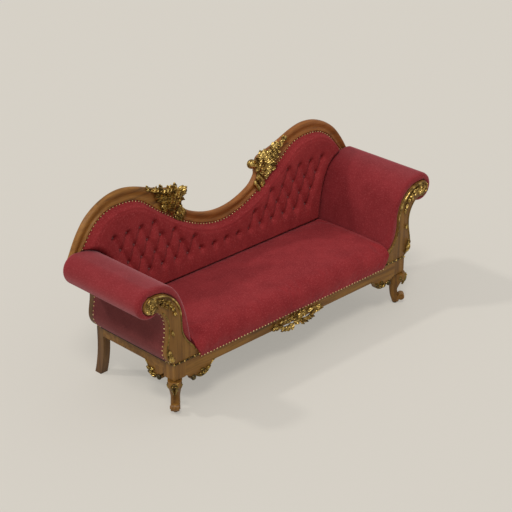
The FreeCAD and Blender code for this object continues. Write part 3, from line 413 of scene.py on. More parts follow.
# The buttons' copy is darker: painted shade in the button pits. Its gloss comes from its lustre.
button_velvet_painted_shade = velvet("crimson_buttons", (0.13, 0.009, 0.012), (0.200, 0.018, 0.022), (0.26, 0.034, 0.038), lustre=1.0)
# The outside cloths' copy is darker and greyer: painted shade for the outer sides under the rolls and for the back.
crimson_outside_painted_shade = velvet("crimson_outside_painted_shade", (0.115, 0.020, 0.019), (0.165, 0.032, 0.030), (0.22, 0.050, 0.046))

# %% [markdown]
# **The plain materials.** Webbing, hessian, cambric, beech, coppered springs and dark turned feet are hardly seen,
# yet each gets the mark that tells it apart: a weave, a saw-grain or a drawn-wire sheen.

# %% Hidden materials


def woven(name, warp, weft, threads):
    """A cloth of visible threads, from two crossed waves."""
    finish = Finish(name)
    here = finish.place()
    waves = []
    for direction in ("X", "Z"):
        inputs = {"Vector": here, "Scale": threads, "Distortion": 0.6, "Detail": 1.0}
        waves.append(finish.node("ShaderNodeTexWave", {"bands_direction": direction}, inputs, output="Fac"))
    wear = finish.noise(here, 30.0, 3.0)
    colour = finish.mix(waves[0] * waves[1], weft, warp)
    colour = finish.mix((wear - 0.45).clamp() * 1.2, colour, weft)
    return finish.set(base_color=colour, roughness=0.92, normal=finish.bump(waves[0] + waves[1], 0.5, 0.0008))


def grained(name, light, dark, roughness):
    finish = Finish(name)
    grain = finish.noise(finish.place((1.2, 16.0, 16.0)), 3.0, 5.0, 0.6, 0.3)
    colour = finish.mix(((grain - 0.35) * 2.4).clamp(), dark, light)
    return finish.set(base_color=colour, roughness=roughness, normal=finish.bump(grain, 0.2, 0.0006))


def drawn_metal(name, colour, roughness):
    finish = Finish(name)
    scratch = finish.noise(finish.place((1.0, 1.0, 8.0)), 60.0, 3.0)
    shade = finish.mix(scratch, tuple(0.55 * part for part in colour), colour)
    return finish.set(base_color=shade, metallic=1.0, roughness=roughness + scratch * 0.2)


jute = woven("jute_webbing", (0.40, 0.29, 0.15), (0.20, 0.13, 0.06), 70.0)
hessian = woven("hessian_cloth", (0.36, 0.26, 0.14), (0.16, 0.11, 0.055), 110.0)
cambric = woven("black_cambric", (0.020, 0.020, 0.021), (0.010, 0.010, 0.011), 240.0)
beech = grained("sawn_beech", (0.42, 0.26, 0.13), (0.28, 0.15, 0.07), 0.7)
peg_wood = grained("dark_pegs", (0.030, 0.018, 0.010), (0.014, 0.008, 0.005), 0.5)
spring_wire = drawn_metal("coppered_wire", (0.45, 0.24, 0.14), 0.35)
screw_metal = drawn_metal("screw_steel", (0.45, 0.45, 0.46), 0.3)

# %% Dress the joiner's pieces
FINISHES = [
    (("carving", "post_bead"), gilt),
    (("webbing_batten", "roll_rail", "tacking", "liner", "uprights", "blocks", "dowels"), beech),
    (("webbing",), jute),
    (("hessian",), hessian),
    (("dust_cover",), cambric),
    (("springs",), spring_wire),
    (("screws",), screw_metal),
    (("foot_peg",), peg_wood),
    (("outside",), crimson_outside_painted_shade),
    (("pad", "buttons"), crimson),
    (("rear_leg", "stile"), walnut_rear),
    (("leg", "facing", "side_bracket"), walnut_standing),
    (("",), walnut_lying),
]


def dress(thing, finish):
    thing.data.materials.clear()
    thing.data.materials.append(finish)


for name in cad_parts:
    node_object = bpy.data.objects[name]
    for words, finish in FINISHES:
        if any(word in name for word in words):
            dress(node_object, finish)
            break
print("dressed", len(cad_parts), "nodes")

# %% [markdown]
# A few helpers make every new piece. `smooth_line` draws a batten line through a handful of points. `skin` lays a
# grid of faces over rows of places, sews up whatever edges meet and closes the ends, which is how a moulding, a
# roll or a cushion becomes one closed surface. `make_piece` turns the result into an object, gives it its finish
# and fixes it to the frame.

# %% Lines and skins


def steps_of(line):
    """The length of each step of a line."""
    return np.linalg.norm(np.diff(line, axis=0), axis=1)


def unit(arrows):
    return arrows / np.linalg.norm(arrows, axis=1)[:, None]


def leftward(line):
    """Unit arrows to the left of a line's direction, one for each place."""
    heading = unit(np.gradient(line, axis=0))
    return np.column_stack([-heading[:, 1], heading[:, 0]])


def shifted(line, distance):
    """A line moved sideways, to the left of its own direction."""
    return line + distance * leftward(line)


def closed(line):
    """A line that ends where it starts."""
    return np.concatenate([line, line[:1]])


def evenly(points, count):
    """The same line measured out into evenly spaced places."""
    known = np.array(points, float)
    run = np.concatenate([[0.0], np.cumsum(steps_of(known))])
    marks = np.linspace(0.0, run[-1], count)
    return np.column_stack([np.interp(marks, run, known[:, axis]) for axis in range(known.shape[1])])


def smooth_line(points, count):
    """A natural spline through a few points, like a batten bent round pins."""
    known = np.array(points, float)
    step = steps_of(known)
    system, right = np.eye(len(known)), np.zeros_like(known)
    for pin in range(1, len(known) - 1):
        system[pin, pin - 1:pin + 2] = step[pin - 1], 2 * (step[pin - 1] + step[pin]), step[pin]
        right[pin] = 3 * ((known[pin + 1] - known[pin]) / step[pin] - (known[pin] - known[pin - 1]) / step[pin - 1])
    bend = np.linalg.solve(system, right)
    fine = []
    for pin, length in enumerate(step):
        t = np.linspace(0.0, length, 24)[:, None]
        slope = (known[pin + 1] - known[pin]) / length - length * (2 * bend[pin] + bend[pin + 1]) / 3
        fine.append(known[pin] + slope * t + bend[pin] * t**2 + (bend[pin + 1] - bend[pin]) / (3 * length) * t**3)
    return evenly(np.vstack(fine), count)


def arc(centre, radius, first, last, count):
    """Places on a round stretch, with its angles in degrees."""
    angles = np.radians(np.linspace(first, last, count))
    return np.column_stack([centre[0] + radius * np.cos(angles), centre[1] + radius * np.sin(angles)])


def rod_all(x, depth, z):
    return np.stack([x, front_y + depth, z], axis=-1)


def on_back_all(line, depth):
    """Many points of the leaning back at once, from a line drawn on it and one depth or many."""
    return rod_all(line[:, 0], *leaned(depth, line[:, 1]))


def skin(places, close=True):
    """A grid stretched over rows of places, sewn where its edges meet."""
    places = np.array(places)
    rows, columns = places.shape[:2]
    bm = bmesh.new()
    bmesh.ops.create_grid(bm, x_segments=columns - 1, y_segments=rows - 1, size=0.5)
    for vertex in bm.verts:
        column = round((vertex.co.x + 0.5) * (columns - 1))
        row = round((vertex.co.y + 0.5) * (rows - 1))
        vertex.co = places[row, column]
    bmesh.ops.remove_doubles(bm, verts=bm.verts, dist=1e-5)
    if close:
        rims = [edge for edge in bm.edges if edge.is_boundary]
        bmesh.ops.holes_fill(bm, edges=rims, sides=0)
        bmesh.ops.recalc_face_normals(bm, faces=bm.faces)
    return bm


# %% Pieces


def make_piece(name, bm, finish, replaces=(), crease=35):
    """One object on the frame, with smooth faces and the sharp edges that its form has."""
    mesh = bpy.data.meshes.new(name)
    bm.to_mesh(mesh)
    bm.free()
    mesh.shade_smooth()
    mesh.set_sharp_from_angle(angle=math.radians(crease))
    mesh.materials.append(finish)
    made = add_object(name, mesh)
    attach(made, "root")
    if replaces:
        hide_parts(*replaces)
    print(name, len(mesh.polygons), "faces")
    return made


def gather(bm, other):
    """Adds one mesh to another."""
    scratch = bpy.data.meshes.new("scratch")
    other.to_mesh(scratch)
    other.free()
    bm.from_mesh(scratch)
    bpy.data.meshes.remove(scratch)


def lay(bm, form, matrix):
    """Lays a copy of a form."""
    copy = form.copy()
    bmesh.ops.transform(copy, matrix=matrix, verts=copy.verts)
    gather(bm, copy)


def ball_form(segments, rings):
    """A ball of radius one, for buttons, nails, berries and bosses."""
    bm = bmesh.new()
    bmesh.ops.create_uvsphere(bm, u_segments=segments, v_segments=rings, radius=1.0)
    return bm


def sized(place, width, depth, height):
    """Stretches a form and moves it to its place."""
    return Matrix.Translation(place) @ Matrix.Diagonal((width, depth, height, 1))


def mirrored(bm):
    """The left-hand copy of a right-hand piece."""
    other = bm.copy()
    bmesh.ops.scale(other, vec=(-1, 1, 1), verts=other.verts)
    bmesh.ops.reverse_faces(other, faces=other.faces)
    return other


def make_pair(name, bm, finish, replaces=(), crease=35):
    """A right and a left piece, each standing for the frame's pieces of its own side."""
    left = mirrored(bm)
    return [
        make_piece(side + "_" + name, shape, finish, [side + "_" + node for node in replaces], crease)
        for side, shape in (("right", bm), ("left", left))
    ]


# %% [markdown]
# **The crest rail** is a serpentine board in three lengths: a hump at each end and a dip between them. A carver
# works the same moulding along all of it: a bead at the nailed edge, a hollow, and a broad round that rolls over
# the top. Its two edges are drawn as lines, and the moulding's section is skinned between them.

# %% Lines of the crest
PEAK_X, PEAK_Z, DIP_Z = 0.650, 0.979, 0.668
KNOB_X, KNOB_Z, KNOB_R = 0.250, 0.848, 0.027
CREST_FOOT_Z = 0.700
FABRIC_TOP = PEAK_Z - 0.068


def spread(start, end, *shares):
    """Places given as shares of the way across and of the way up or down, from one corner of a box to the other."""
    return [(start[0] + u * (end[0] - start[0]), start[1] + v * (end[1] - start[1])) for u, v in shares]


def both_sides(right):
    """A line from the middle outwards, continued over the left side."""
    return [(-x, z) for x, z in reversed(right[1:])] + list(right)


PEAK, KNOB, DIP = (PEAK_X, PEAK_Z), (KNOB_X, KNOB_Z), (0.0, DIP_Z)
FABRIC_PEAK, FABRIC_DIP = (PEAK_X, FABRIC_TOP), (0.0, DIP_Z - 0.060)
FOOT = (HALF_SPAN, CREST_FOOT_Z)

dip_edge = spread(
    DIP, KNOB, (0, 0), (0.4, 0.067), (0.8, 0.267), (0.96, 0.4), (1.07, 0.567), (1.112, 0.689), (1.104, 0.761),
)
hump_edge = [dip_edge[-1], (KNOB_X + 0.034, KNOB_Z - 0.006)]
hump_edge += spread(KNOB, PEAK, (0.12, 0.20), (0.175, 0.282), (0.375, 0.435), (0.575, 0.641), (0.75, 0.832), (1, 1))
hump_edge += spread(
    PEAK, FOOT, (0.286, 0.032), (0.571, 0.183), (0.714, 0.312), (0.857, 0.516), (0.943, 0.677), (1.014, 0.839),
)
hump_edge.append((HALF_SPAN + 0.030, CREST_FOOT_Z))
fabric_dip = spread(FABRIC_DIP, FABRIC_PEAK, (0, 0), (0.1538, 0.043), (0.3077, 0.155), (0.4615, 0.33), (0.523, 0.413))
fabric_hump = fabric_dip[-1:]
fabric_hump += spread(
    FABRIC_DIP, FABRIC_PEAK, (0.615, 0.551), (0.692, 0.667), (0.769, 0.8), (0.846, 0.914), (0.923, 0.974),
)
fabric_hump += spread(
    FABRIC_PEAK, FOOT, (0.143, 0.0), (0.286, 0.024), (0.429, 0.1), (0.571, 0.242), (0.686, 0.431), (0.8, 0.678),
)
fabric_hump.append((HALF_SPAN - 0.010, CREST_FOOT_Z))

hump_low, hump_top = smooth_line(fabric_hump, 121), smooth_line(hump_edge, 121)
dip_low, dip_top = smooth_line(both_sides(fabric_dip), 81), smooth_line(both_sides(dip_edge), 81)
fabric_line = smooth_line(both_sides(fabric_dip + fabric_hump[1:]), 401)
print("crest lines", len(hump_top), "and", len(dip_top), "stations")

# %% Moulding of the crest
LEDGE_BACK = 0.012
LEDGE_DROP = 0.022
BEAD = 0.0055


def crest_section():
    """Across the rail: share of its width, metres past that, and metres in front of its face."""
    section = [(0, -LEDGE_DROP, -FRAME_THICK), (0, -LEDGE_DROP, -LEDGE_BACK), (0, 0, -LEDGE_BACK), (0, 0, -0.002)]
    for angle in range(180, -1, -30):
        turn = math.radians(angle)
        section.append((0, BEAD + BEAD * math.cos(turn), BEAD * math.sin(turn)))
    section += [(0.22, 0.002, -0.0035), (0.30, 0, -0.0042), (0.40, 0, -0.0036), (0.52, 0, -0.0010), (0.64, 0, 0.0022)]
    section += [(0.76, 0, 0.0042), (0.86, 0, 0.0040), (0.93, 0, 0.0016), (0.975, 0, -0.0025), (1.0, 0, -0.0085)]
    section += [(1.0, 0.0015, -0.014), (1.0, 0.0012, -0.020), (1.0, -0.001, -0.026), (1.0, -0.005, -FRAME_THICK)]
    return section + [section[0]]


def crest_moulding(low, top):
    """The moulding skinned between the nailed edge and the top edge."""
    width = top - low
    return skin([
        on_back_all(low + share * width + extra * unit(width), BACK_FACE - proud)
        for share, extra, proud in crest_section()
    ])


_, left_hump = make_pair(
    "crest_hump", crest_moulding(hump_low, hump_top), walnut_crest, ["crest_rail"]
)
# The left hump gets the paler crest walnut, which is painted light.
left_hump.data.materials[0] = walnut_crest_painted_light
make_piece(
    "crest_dip", crest_moulding(dip_low, dip_top), walnut_crest, ["crest_rail_middle"]
)

# %% [markdown]
# **The rolled arms.** An arm is a scroll in section: a nearly upright inner face, a roll over the top and an
# underside that turns back in to the frame. Opposite places of its two sides are paired, so the same pairs give
# the long surface and, drawn together in steps, both ends. The front end swells out round the facing board and is
# pushed back to the board's rear face wherever the wood covers it.

# %% Lines of the arm
ARM_RISE = SCROLL_Z - FRAME_TOP
FACING_THICK = 0.022
FACING_FOOT_X = POST_OUTER - 0.175
ROLL_CENTRE, SCROLL_CENTRE = (HALF_SPAN, ROLL_Z), (HALF_SPAN, SCROLL_Z)


def arm_points(*places):
    """Millimetres out from the scroll's centre, and a share of the arm's rise."""
    return [(HALF_SPAN + out / 1000, FRAME_TOP + up * ARM_RISE) for out, up in places]


ARM_OUTER = arm_points(
    (-133, 0.0), (-113, 0.04), (-90, 0.13), (-84, 0.22), (-90, 0.33), (-99, 0.45), (-102, 0.57), (-95, 0.69),
    (-75, 0.79), (-45, 0.862),
)
arm_face = smooth_line(
    arm_points((-270, 0.149), (-260, 0.297), (-248, 0.486), (-232, 0.689), (-201, 0.919), (-150, 1.115))
    + [(HALF_SPAN - 0.078, ROLL_Z + ROLL_R - 0.009), (HALF_SPAN, ROLL_Z + ROLL_R)], 90,
)
arm_outside = np.vstack([arm_face[:-1], arc(ROLL_CENTRE, ROLL_R, 90, -135, 70)])
arm_under = smooth_line(
    arm_points((-220, 0.149), (-208, 0.284), (-199, 0.405), (-186, 0.57), (-164, 0.73), (-140, 0.83), (-100, 0.90))
    + [arm_outside[-1]], 90,
)
arm_outer = smooth_line(ARM_OUTER + [(HALF_SPAN, SCROLL_Z - VOLUTE_R)], 70)
facing_inner = smooth_line(
    [(HALF_SPAN, SCROLL_Z + VOLUTE_R), (HALF_SPAN - 0.050, SCROLL_Z + VOLUTE_R - 0.001)]
    + arm_points((-107, 1.06), (-162, 0.919), (-194, 0.703), (-202, 0.432), (-230, 0.278), (-278, 0.13))
    + [(FACING_FOOT_X, FRAME_TOP)], 90,
)
facing_outline = np.vstack([arm_outer[:-1], arc(SCROLL_CENTRE, VOLUTE_R, -90, 90, 40)[:-1], facing_inner])
print("facing outline", len(facing_outline), "places")


def distance_to(line, places):
    """How far each place lies from a line, from its closest stretch."""
    best = np.full(len(places), 1e9)
    for start, end in zip(line[:-1], line[1:]):
        along = end - start
        share = np.clip(((places - start) @ along) / max(along @ along, 1e-12), 0.0, 1.0)
        best = np.minimum(best, np.linalg.norm(places - start - share[:, None] * along, axis=1))
    return best


def inside(outline, places):
    """Which places lie inside a closed outline."""
    odd = np.zeros(len(places), bool)
    for (x0, z0), (x1, z1) in zip(outline, np.roll(outline, -1, axis=0)):
        if abs(z1 - z0) > 1e-12:
            crosses = (z0 > places[:, 1]) != (z1 > places[:, 1])
            odd ^= crosses & (places[:, 0] < x0 + (places[:, 1] - z0) * (x1 - x0) / (z1 - z0))
    return odd


def round_over(distance, radius):
    """How far a rounded edge falls back at some distance in from the outline."""
    reach = np.clip(distance / radius, 0.0, 1.0)
    return radius * (1.0 - np.sqrt(1.0 - (1.0 - reach) ** 2))


# %% Arm covers
PAD_FRONT = 0.006
FRONT_ROUND = 0.021
REAR_ROUND = 0.012
LIP_START, LIP_SLOPE = 0.0008, 3.2
PAIRS = 150
CAP_ROWS = 14


def back_front_depth(z):
    """Depth of the front face of the leaning frame at some height."""
    foot = BACK_PLANE - FRAME_THICK * math.cos(LEAN)
    return foot + (z - FRAME_TOP - FRAME_THICK * math.sin(LEAN)) * math.tan(LEAN)


def arm_cover():
    outside_line, under_line = evenly(arm_outside, PAIRS), evenly(arm_under, PAIRS)
    loop = np.vstack([outside_line, under_line[::-1]])
    opposite = np.vstack([under_line, outside_line[::-1]])
    shut, board = closed(loop), closed(facing_outline)
    caps = [loop + (opposite - loop) * (step / CAP_ROWS) ** 1.25 / 2 for step in range(1, CAP_ROWS + 1)]
    rows = []
    for cap in reversed(caps):
        depth = PAD_FRONT + round_over(distance_to(shut, cap), FRONT_ROUND)
        outward = np.where(inside(facing_outline, cap), 0.0, distance_to(board, cap))
        recess = FACING_THICK + SOFT_GAP - np.maximum((outward - LIP_START) * LIP_SLOPE, 0.0)
        rows.append((cap, np.maximum(depth, recess)))
    last = back_front_depth(loop[:, 1]) - SOFT_GAP
    for share in np.linspace(0.0, 1.0, 60):
        rows.append((loop, (PAD_FRONT + FRONT_ROUND) * (1 - share) + (last - REAR_ROUND) * share))
    for cap in caps:
        fall = round_over(distance_to(shut, cap), REAR_ROUND)
        rows.append((cap, back_front_depth(cap[:, 1]) - SOFT_GAP - fall))
    places = np.array([rod_all(flat[:, 0], depth, flat[:, 1]) for flat, depth in rows])
    places = np.concatenate([places, places[:, :1]], axis=1)
    return skin(places)


arm_covers = make_pair("arm_cover", arm_cover(), crimson_arm_painted_shade, ["arm_pad"], 60)

# %% [markdown]
# **The buttoned back.** Deep buttoning pulls a thick stuffing in at each button and gathers the spare cloth into
# folds that run from button to button, so the stuffing swells into diamonds. The cover is one grid fitted between
# the nailed edge, the arms and the seat. Every place of it knows how far it lies from its edges, its nearest
# button and its nearest fold, and stands forward accordingly.

# %% Buttons and folds
BUTTON_PITCH = 0.090
ROW_RISE = 0.083
# Height of each row, and its first and last places to the right of the middle.
BUTTON_ROWS = [(0.505, 0.0, 0.630), (0.588, 0.225, 0.675), (0.671, 0.360, 0.720), (0.754, 0.495, 0.765)]
FOLD_TO_SEAT, FOLD_TO_CREST = 0.062, 0.048


def button_places():
    places = set()
    for z, first, last in BUTTON_ROWS:
        for step in range(round((last - first) / BUTTON_PITCH) + 1):
            x = round(first + step * BUTTON_PITCH, 4)
            places.update([(x, z), (-x, z)])
    return sorted(places)


def fold_lines():
    """Folds from button to button, and short ones that run out to the edges: start, end, depth at each end."""
    folds = []
    for x, z in buttons:
        above = [(a, b) for a, b in buttons if z < b < z + 1.5 * ROW_RISE and abs(a - x) < 0.7 * BUTTON_PITCH]
        folds += [((x, z), other, 1.0, 1.0) for other in above]
        if z == BUTTON_ROWS[0][0]:
            folds.append(((x, z), (x, z - FOLD_TO_SEAT), 0.9, 0.0))
        if not above:
            splay = math.copysign(0.012, x) if abs(x) > 0.2 else 0.0
            folds.append(((x, z), (x + splay, z + FOLD_TO_CREST), 0.8, 0.0))
    return folds


buttons = button_places()
folds = fold_lines()
print(len(buttons), "buttons and", len(folds), "folds")

# %% Back cover
CLOTH_THICK = 0.0015
BACK_BOTTOM = 0.393
PAD_DEPTH = 0.037
PUFF = 0.009
FOLD_DEPTH = 0.009
FOLD_WIDTH = 0.0128
PIT_DEPTH = 0.012
PIT_RADIUS = 0.016
FOLD_SLACK = 0.54
PUFF_REACH, PUFF_WIDTH = 0.020, 0.05
BAND_DEPTH, BAND_AT, BAND_WIDTH = 0.0030, 0.036, 0.008
TOP_ROUND, SIDE_ROUND, BOTTOM_ROUND = 0.030, 0.034, 0.010
NAIL_MARGIN = 0.008
COVER_GAP = 0.0005
TUCK_DEPTH = 0.009
BACK_COLUMNS, BACK_LEVELS = 420, 100
MIRROR = np.array([-1.0, 1.0])


def back_opening():
    """Bottom, top and right-hand lines of the cover, with the corner where the arm meets the nailed edge."""
    face = arm_face - np.array([0.001, 0.0])
    top_z = np.interp(face[:, 0], fabric_line[:, 0], fabric_line[:, 1])
    under = face[:, 1] < top_z
    corner = face[under][-1]
    side = face[under & (face[:, 1] > BACK_BOTTOM)]
    side = np.vstack([[np.interp(BACK_BOTTOM, face[:, 1], face[:, 0]), BACK_BOTTOM], side])
    top = fabric_line[np.abs(fabric_line[:, 0]) < corner[0]]
    top = np.vstack([[-corner[0], corner[1]], top, corner])
    bottom = np.array([side[0] * MIRROR, side[0]])
    return evenly(bottom, BACK_COLUMNS), evenly(top, BACK_COLUMNS), evenly(side, BACK_LEVELS)


def cover_grid(bottom, top, side):
    """A flat grid fitted between four lines; the left one mirrors the right one."""
    u = np.linspace(0.0, 1.0, len(bottom))[None, :, None]
    v = np.linspace(0.0, 1.0, len(side))[:, None, None]
    right = side[:, None, :]
    left = right * MIRROR
    corners = (1 - u) * (1 - v) * bottom[0] + u * (1 - v) * bottom[-1] + (1 - u) * v * top[0] + u * v * top[-1]
    return (1 - v) * bottom[None] + v * top[None] + (1 - u) * left + u * right - corners


def stuffing(places, top, side):
    """How far each place of the buttoned cover stands in front of the frame."""
    fold = np.zeros(len(places))
    nearest = np.full(len(places), 1e9)
    for start, end, first, last in folds:
        start, along = np.array(start), np.array(end) - np.array(start)
        share = np.clip(((places - start) @ along) / (along @ along), 0.0, 1.0)
        gap = np.linalg.norm(places - start - share[:, None] * along, axis=1)
        pull = first + (last - first) * share
        sag = 1 - FOLD_SLACK * (1 - np.abs(2 * share - 1) ** 1.6)
        fold = np.maximum(fold, FOLD_DEPTH * pull * sag * np.exp(-(gap / FOLD_WIDTH) ** 1.7))
        nearest = np.minimum(nearest, gap + PUFF_WIDTH * (1 - pull))
    pit = np.zeros(len(places))
    for button in buttons:
        gap = np.linalg.norm(places - np.array(button), axis=1)
        pit = np.maximum(pit, PIT_DEPTH * np.exp(-(gap / PIT_RADIUS) ** 2))
    puff = PUFF * (1 - np.exp(-(np.minimum(nearest, PUFF_WIDTH) / PUFF_REACH) ** 2))
    under_edge = distance_to(top, places)
    band = BAND_DEPTH * np.exp(-((under_edge - BAND_AT) / BAND_WIDTH) ** 2)
    full = PAD_DEPTH + puff - fold - pit - band
    beside = np.minimum(distance_to(side, places), distance_to(side * MIRROR, places))
    for distance, radius in (
        (under_edge - NAIL_MARGIN, TOP_ROUND), (beside, SIDE_ROUND), (places[:, 1] - BACK_BOTTOM, BOTTOM_ROUND),
    ):
        full *= 1 - round_over(distance, radius) / radius
    return np.where(under_edge > 0.001, np.maximum(full, CLOTH_THICK), full)


def back_cover():
    bottom, top, side = back_opening()
    grid = cover_grid(bottom, top, side)
    flat = grid.reshape(-1, 2)
    proud = stuffing(flat, top, side).reshape(grid.shape[:2])
    rows = [on_back_all(line, BACK_FACE + COVER_GAP - rise) for line, rise in zip(grid, proud)]
    rows += [on_back_all(line, BACK_FACE + TUCK_DEPTH) for line in (grid[-1], grid[0])]
    return skin(rows + rows[:1])


back_piece = make_piece("back_cover", back_cover(), crimson_back_painted_light, ["back_pad"], 80)

# %% Covered buttons
BUTTON_R = 0.0082
BUTTON_SEAT = PAD_DEPTH - FOLD_DEPTH - PIT_DEPTH
BUTTON_RISE = 0.0032
BUTTON_FLATNESS = 0.6


def covered_buttons():
    """Domed moulds under a darker copy of the velvet, which is painted shade in the pits; each is drawn down into its
    pit.
    """
    dome, facing_out = ball_form(16, 10), Matrix.Rotation(math.pi / 2 - LEAN, 4, "X")
    squashed = sized((0, 0, 0), BUTTON_R, BUTTON_R, BUTTON_FLATNESS * BUTTON_R)
    bm = bmesh.new()
    for x, z in buttons:
        middle = on_back(x, BACK_FACE - BUTTON_SEAT - BUTTON_RISE, z)
        lay(bm, dome, Matrix.Translation(middle) @ facing_out @ squashed)
    return bm


make_piece("covered_buttons", covered_buttons(), button_velvet_painted_shade, ["back_buttons"], 60)

# %% [markdown]
# **The sprung seat.** Horsehair over springs gives a seat that is nearly flat, rounds over the front and is nailed
# into the rail's rebate. Real cloth is never ruled flat, so the seat's skin is blown up a little with the cloth
# solver: it is pinned where it is nailed or trapped, pressed from inside, and its travel is capped.

# %% Cloth pressed from inside
CLOTH_FRAMES = 20
CLOTH = dict(
    use_pressure=True, mass=0.35, quality=4, tension_stiffness=22, compression_stiffness=14, bending_stiffness=1.5,
    shrink_min=-0.012,
)


def press(made, pinned, pressure, cap):
    """Runs the cloth solver on a closed skin and keeps its result, with the pinned places held."""
    mesh = made.data
    before = np.empty(len(mesh.vertices) * 3)
    mesh.vertices.foreach_get("co", before)
    before = before.reshape(-1, 3)
    group = made.vertex_groups.new(name="pinned")
    for index in np.nonzero(pinned(before))[0]:
        group.add([int(index)], 1.0, "REPLACE")
    cloth = made.modifiers.new("cloth", "CLOTH")
    for setting, value in CLOTH.items():
        setattr(cloth.settings, setting, value)
    cloth.settings.vertex_group_mass = "pinned"
    cloth.settings.uniform_pressure_force = pressure
    cloth.settings.effector_weights.gravity = 0.0
    cloth.collision_settings.use_collision = False
    cloth.point_cache.frame_start, cloth.point_cache.frame_end = 1, CLOTH_FRAMES
    scene = bpy.context.scene
    for step in range(1, CLOTH_FRAMES + 1):
        scene.frame_set(step)
    solved = made.evaluated_get(bpy.context.evaluated_depsgraph_get())
    after = np.empty(len(before) * 3)
    solved.to_mesh().vertices.foreach_get("co", after)
    travel = after.reshape(-1, 3) - before
    solved.to_mesh_clear()
    made.modifiers.remove(cloth)
    made.vertex_groups.remove(group)
    length = np.linalg.norm(travel, axis=1)
    travel *= (np.tanh(length / cap) * cap / np.maximum(length, 1e-9))[:, None]
    mesh.vertices.foreach_set("co", (before + travel).ravel())
    mesh.update()
    scene.frame_set(1)
    print(made.name, "moved by up to", round(float(np.linalg.norm(travel, axis=1).max()) * 1000, 1), "mm")


# %% Seat cover
SEAT_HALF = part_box("seat_pad")[1].x
COVER_LINE = 0.266
HESSIAN_Z = 0.338
SEAT_COLUMNS = 210
SEAT_PRESSURE, SEAT_TRAVEL = 1.6, 0.008
PINNED = 0.008
SEAT_ROLL = [
    (-0.002, 0.0003), (-0.0105, 0.022), (-0.014, 0.052), (-0.0042, 0.088), (0.026, 0.114), (0.095, 0.127),
    (0.280, 0.132), (0.450, 0.130), (0.558, 0.124),
]


def seat_half_at(depth, z):
    """Half the seat's width: between the facings in front, and in under the arms behind them."""
    inner = facing_inner[::-1]
    between = np.interp(z, inner[:, 1], inner[:, 0]) - 0.0008
    return np.where(depth < FACING_THICK + 0.001, np.minimum(between, SEAT_HALF), SEAT_HALF)


def seat_cover():
    roll = smooth_line([(depth, COVER_LINE + rise) for depth, rise in SEAT_ROLL], 96)
    floor_line = [(0.558, HESSIAN_Z + 0.009), (0.546, HESSIAN_Z + 0.0013), (0.062, HESSIAN_Z + 0.0013),
                  (0.030, FRAME_TOP + 0.0004), (0.0047, FRAME_TOP + 0.0004), (0.0047, COVER_LINE + 0.0004)]
    section = closed(np.vstack([roll, evenly(floor_line, 40)[1:]]))
    half = seat_half_at(section[:, 0], section[:, 1])
    rows = [rod_all(share * half, section[:, 0], section[:, 1]) for share in np.linspace(-1.0, 1.0, SEAT_COLUMNS)]
    return skin(rows)


def seat_pinned(places):
    """The nailed front edge, the underside, and what is trapped under the arms and the back."""
    depth = places[:, 1] - front_y
    trapped = (depth > 0.530) | (places[:, 2] < COVER_LINE + PINNED) | (np.abs(places[:, 0]) > SEAT_HALF - PINNED)
    under = (places[:, 2] < HESSIAN_Z + 0.010) & (depth > 0.003)
    beside = (depth < FACING_THICK + 0.004) & (np.abs(places[:, 0]) > seat_half_at(depth, places[:, 2]) - 0.010)
    return trapped | under | beside


seat_piece = make_piece("seat_cover", seat_cover(), crimson, ["seat_pad"], 70)
press(seat_piece, seat_pinned, SEAT_PRESSURE, SEAT_TRAVEL)

# %% [markdown]
# **The outside cloths.** The outer side of each arm is a cloth over a thin layer of wadding, nailed along the facing
# and the back frame, so it swells a little between its edges and puckers between its nails. The couch's back is
# closed with a cloth pulled taut from stile to stile, and its underside with black cambric that sags slightly.

# %% Outside arm panels
PANEL_FOOT = FRAME_TOP + 0.0055
POST_SIZE = 0.078
PANEL_THICK = 0.0048
PANEL_SWELL = 0.0024
PANEL_EDGE = 0.0016
PUCKER_DEPTH, PUCKER_AT, PUCKER_WIDTH = 0.0012, 0.010, 0.009
STRIP_THICK = 0.003
NAIL_PITCH = 0.021
WELT_R = 0.0034


def outside_panel():
    """The padded outer side of an arm, from over the side rail up to the roll."""
    landing = arc(ROLL_CENTRE, ROLL_R + SOFT_GAP, 230.2, 230.2, 1)[0]
    line = smooth_line(ARM_OUTER + [landing], 200)
    line = evenly(line[line[:, 1] > PANEL_FOOT], 110)
    outward = -leftward(line)
    run = np.linspace(0.0, steps_of(line).sum(), len(line))
    from_end = np.minimum(run, run[-1] - run)
    front, rear = FACING_THICK + SOFT_GAP, back_front_depth(line[:, 1]) - SOFT_GAP
    inner = (line - outward * PANEL_THICK)[::-1]
    rows = []
    for share in (1 - np.cos(np.linspace(0.0, math.pi, 60))) / 2:
        depth = front + (rear - front) * share
        edge = np.minimum(depth - front, rear - depth)
        swell = PANEL_SWELL * (1 - np.exp(-edge / 0.03)) * (1 - np.exp(-from_end / 0.02))
        pucker = PUCKER_DEPTH * np.abs(np.sin(math.pi * run / NAIL_PITCH))
        pucker *= np.exp(-((edge - PUCKER_AT) / PUCKER_WIDTH) ** 2)
        outer = line + outward * (swell + pucker - round_over(edge, PANEL_EDGE))[:, None]
        flat = closed(np.vstack([outer, inner]))
        rows.append(rod_all(flat[:, 0], closed(np.concatenate([depth, depth[::-1]])), flat[:, 1]))
    return skin(rows)


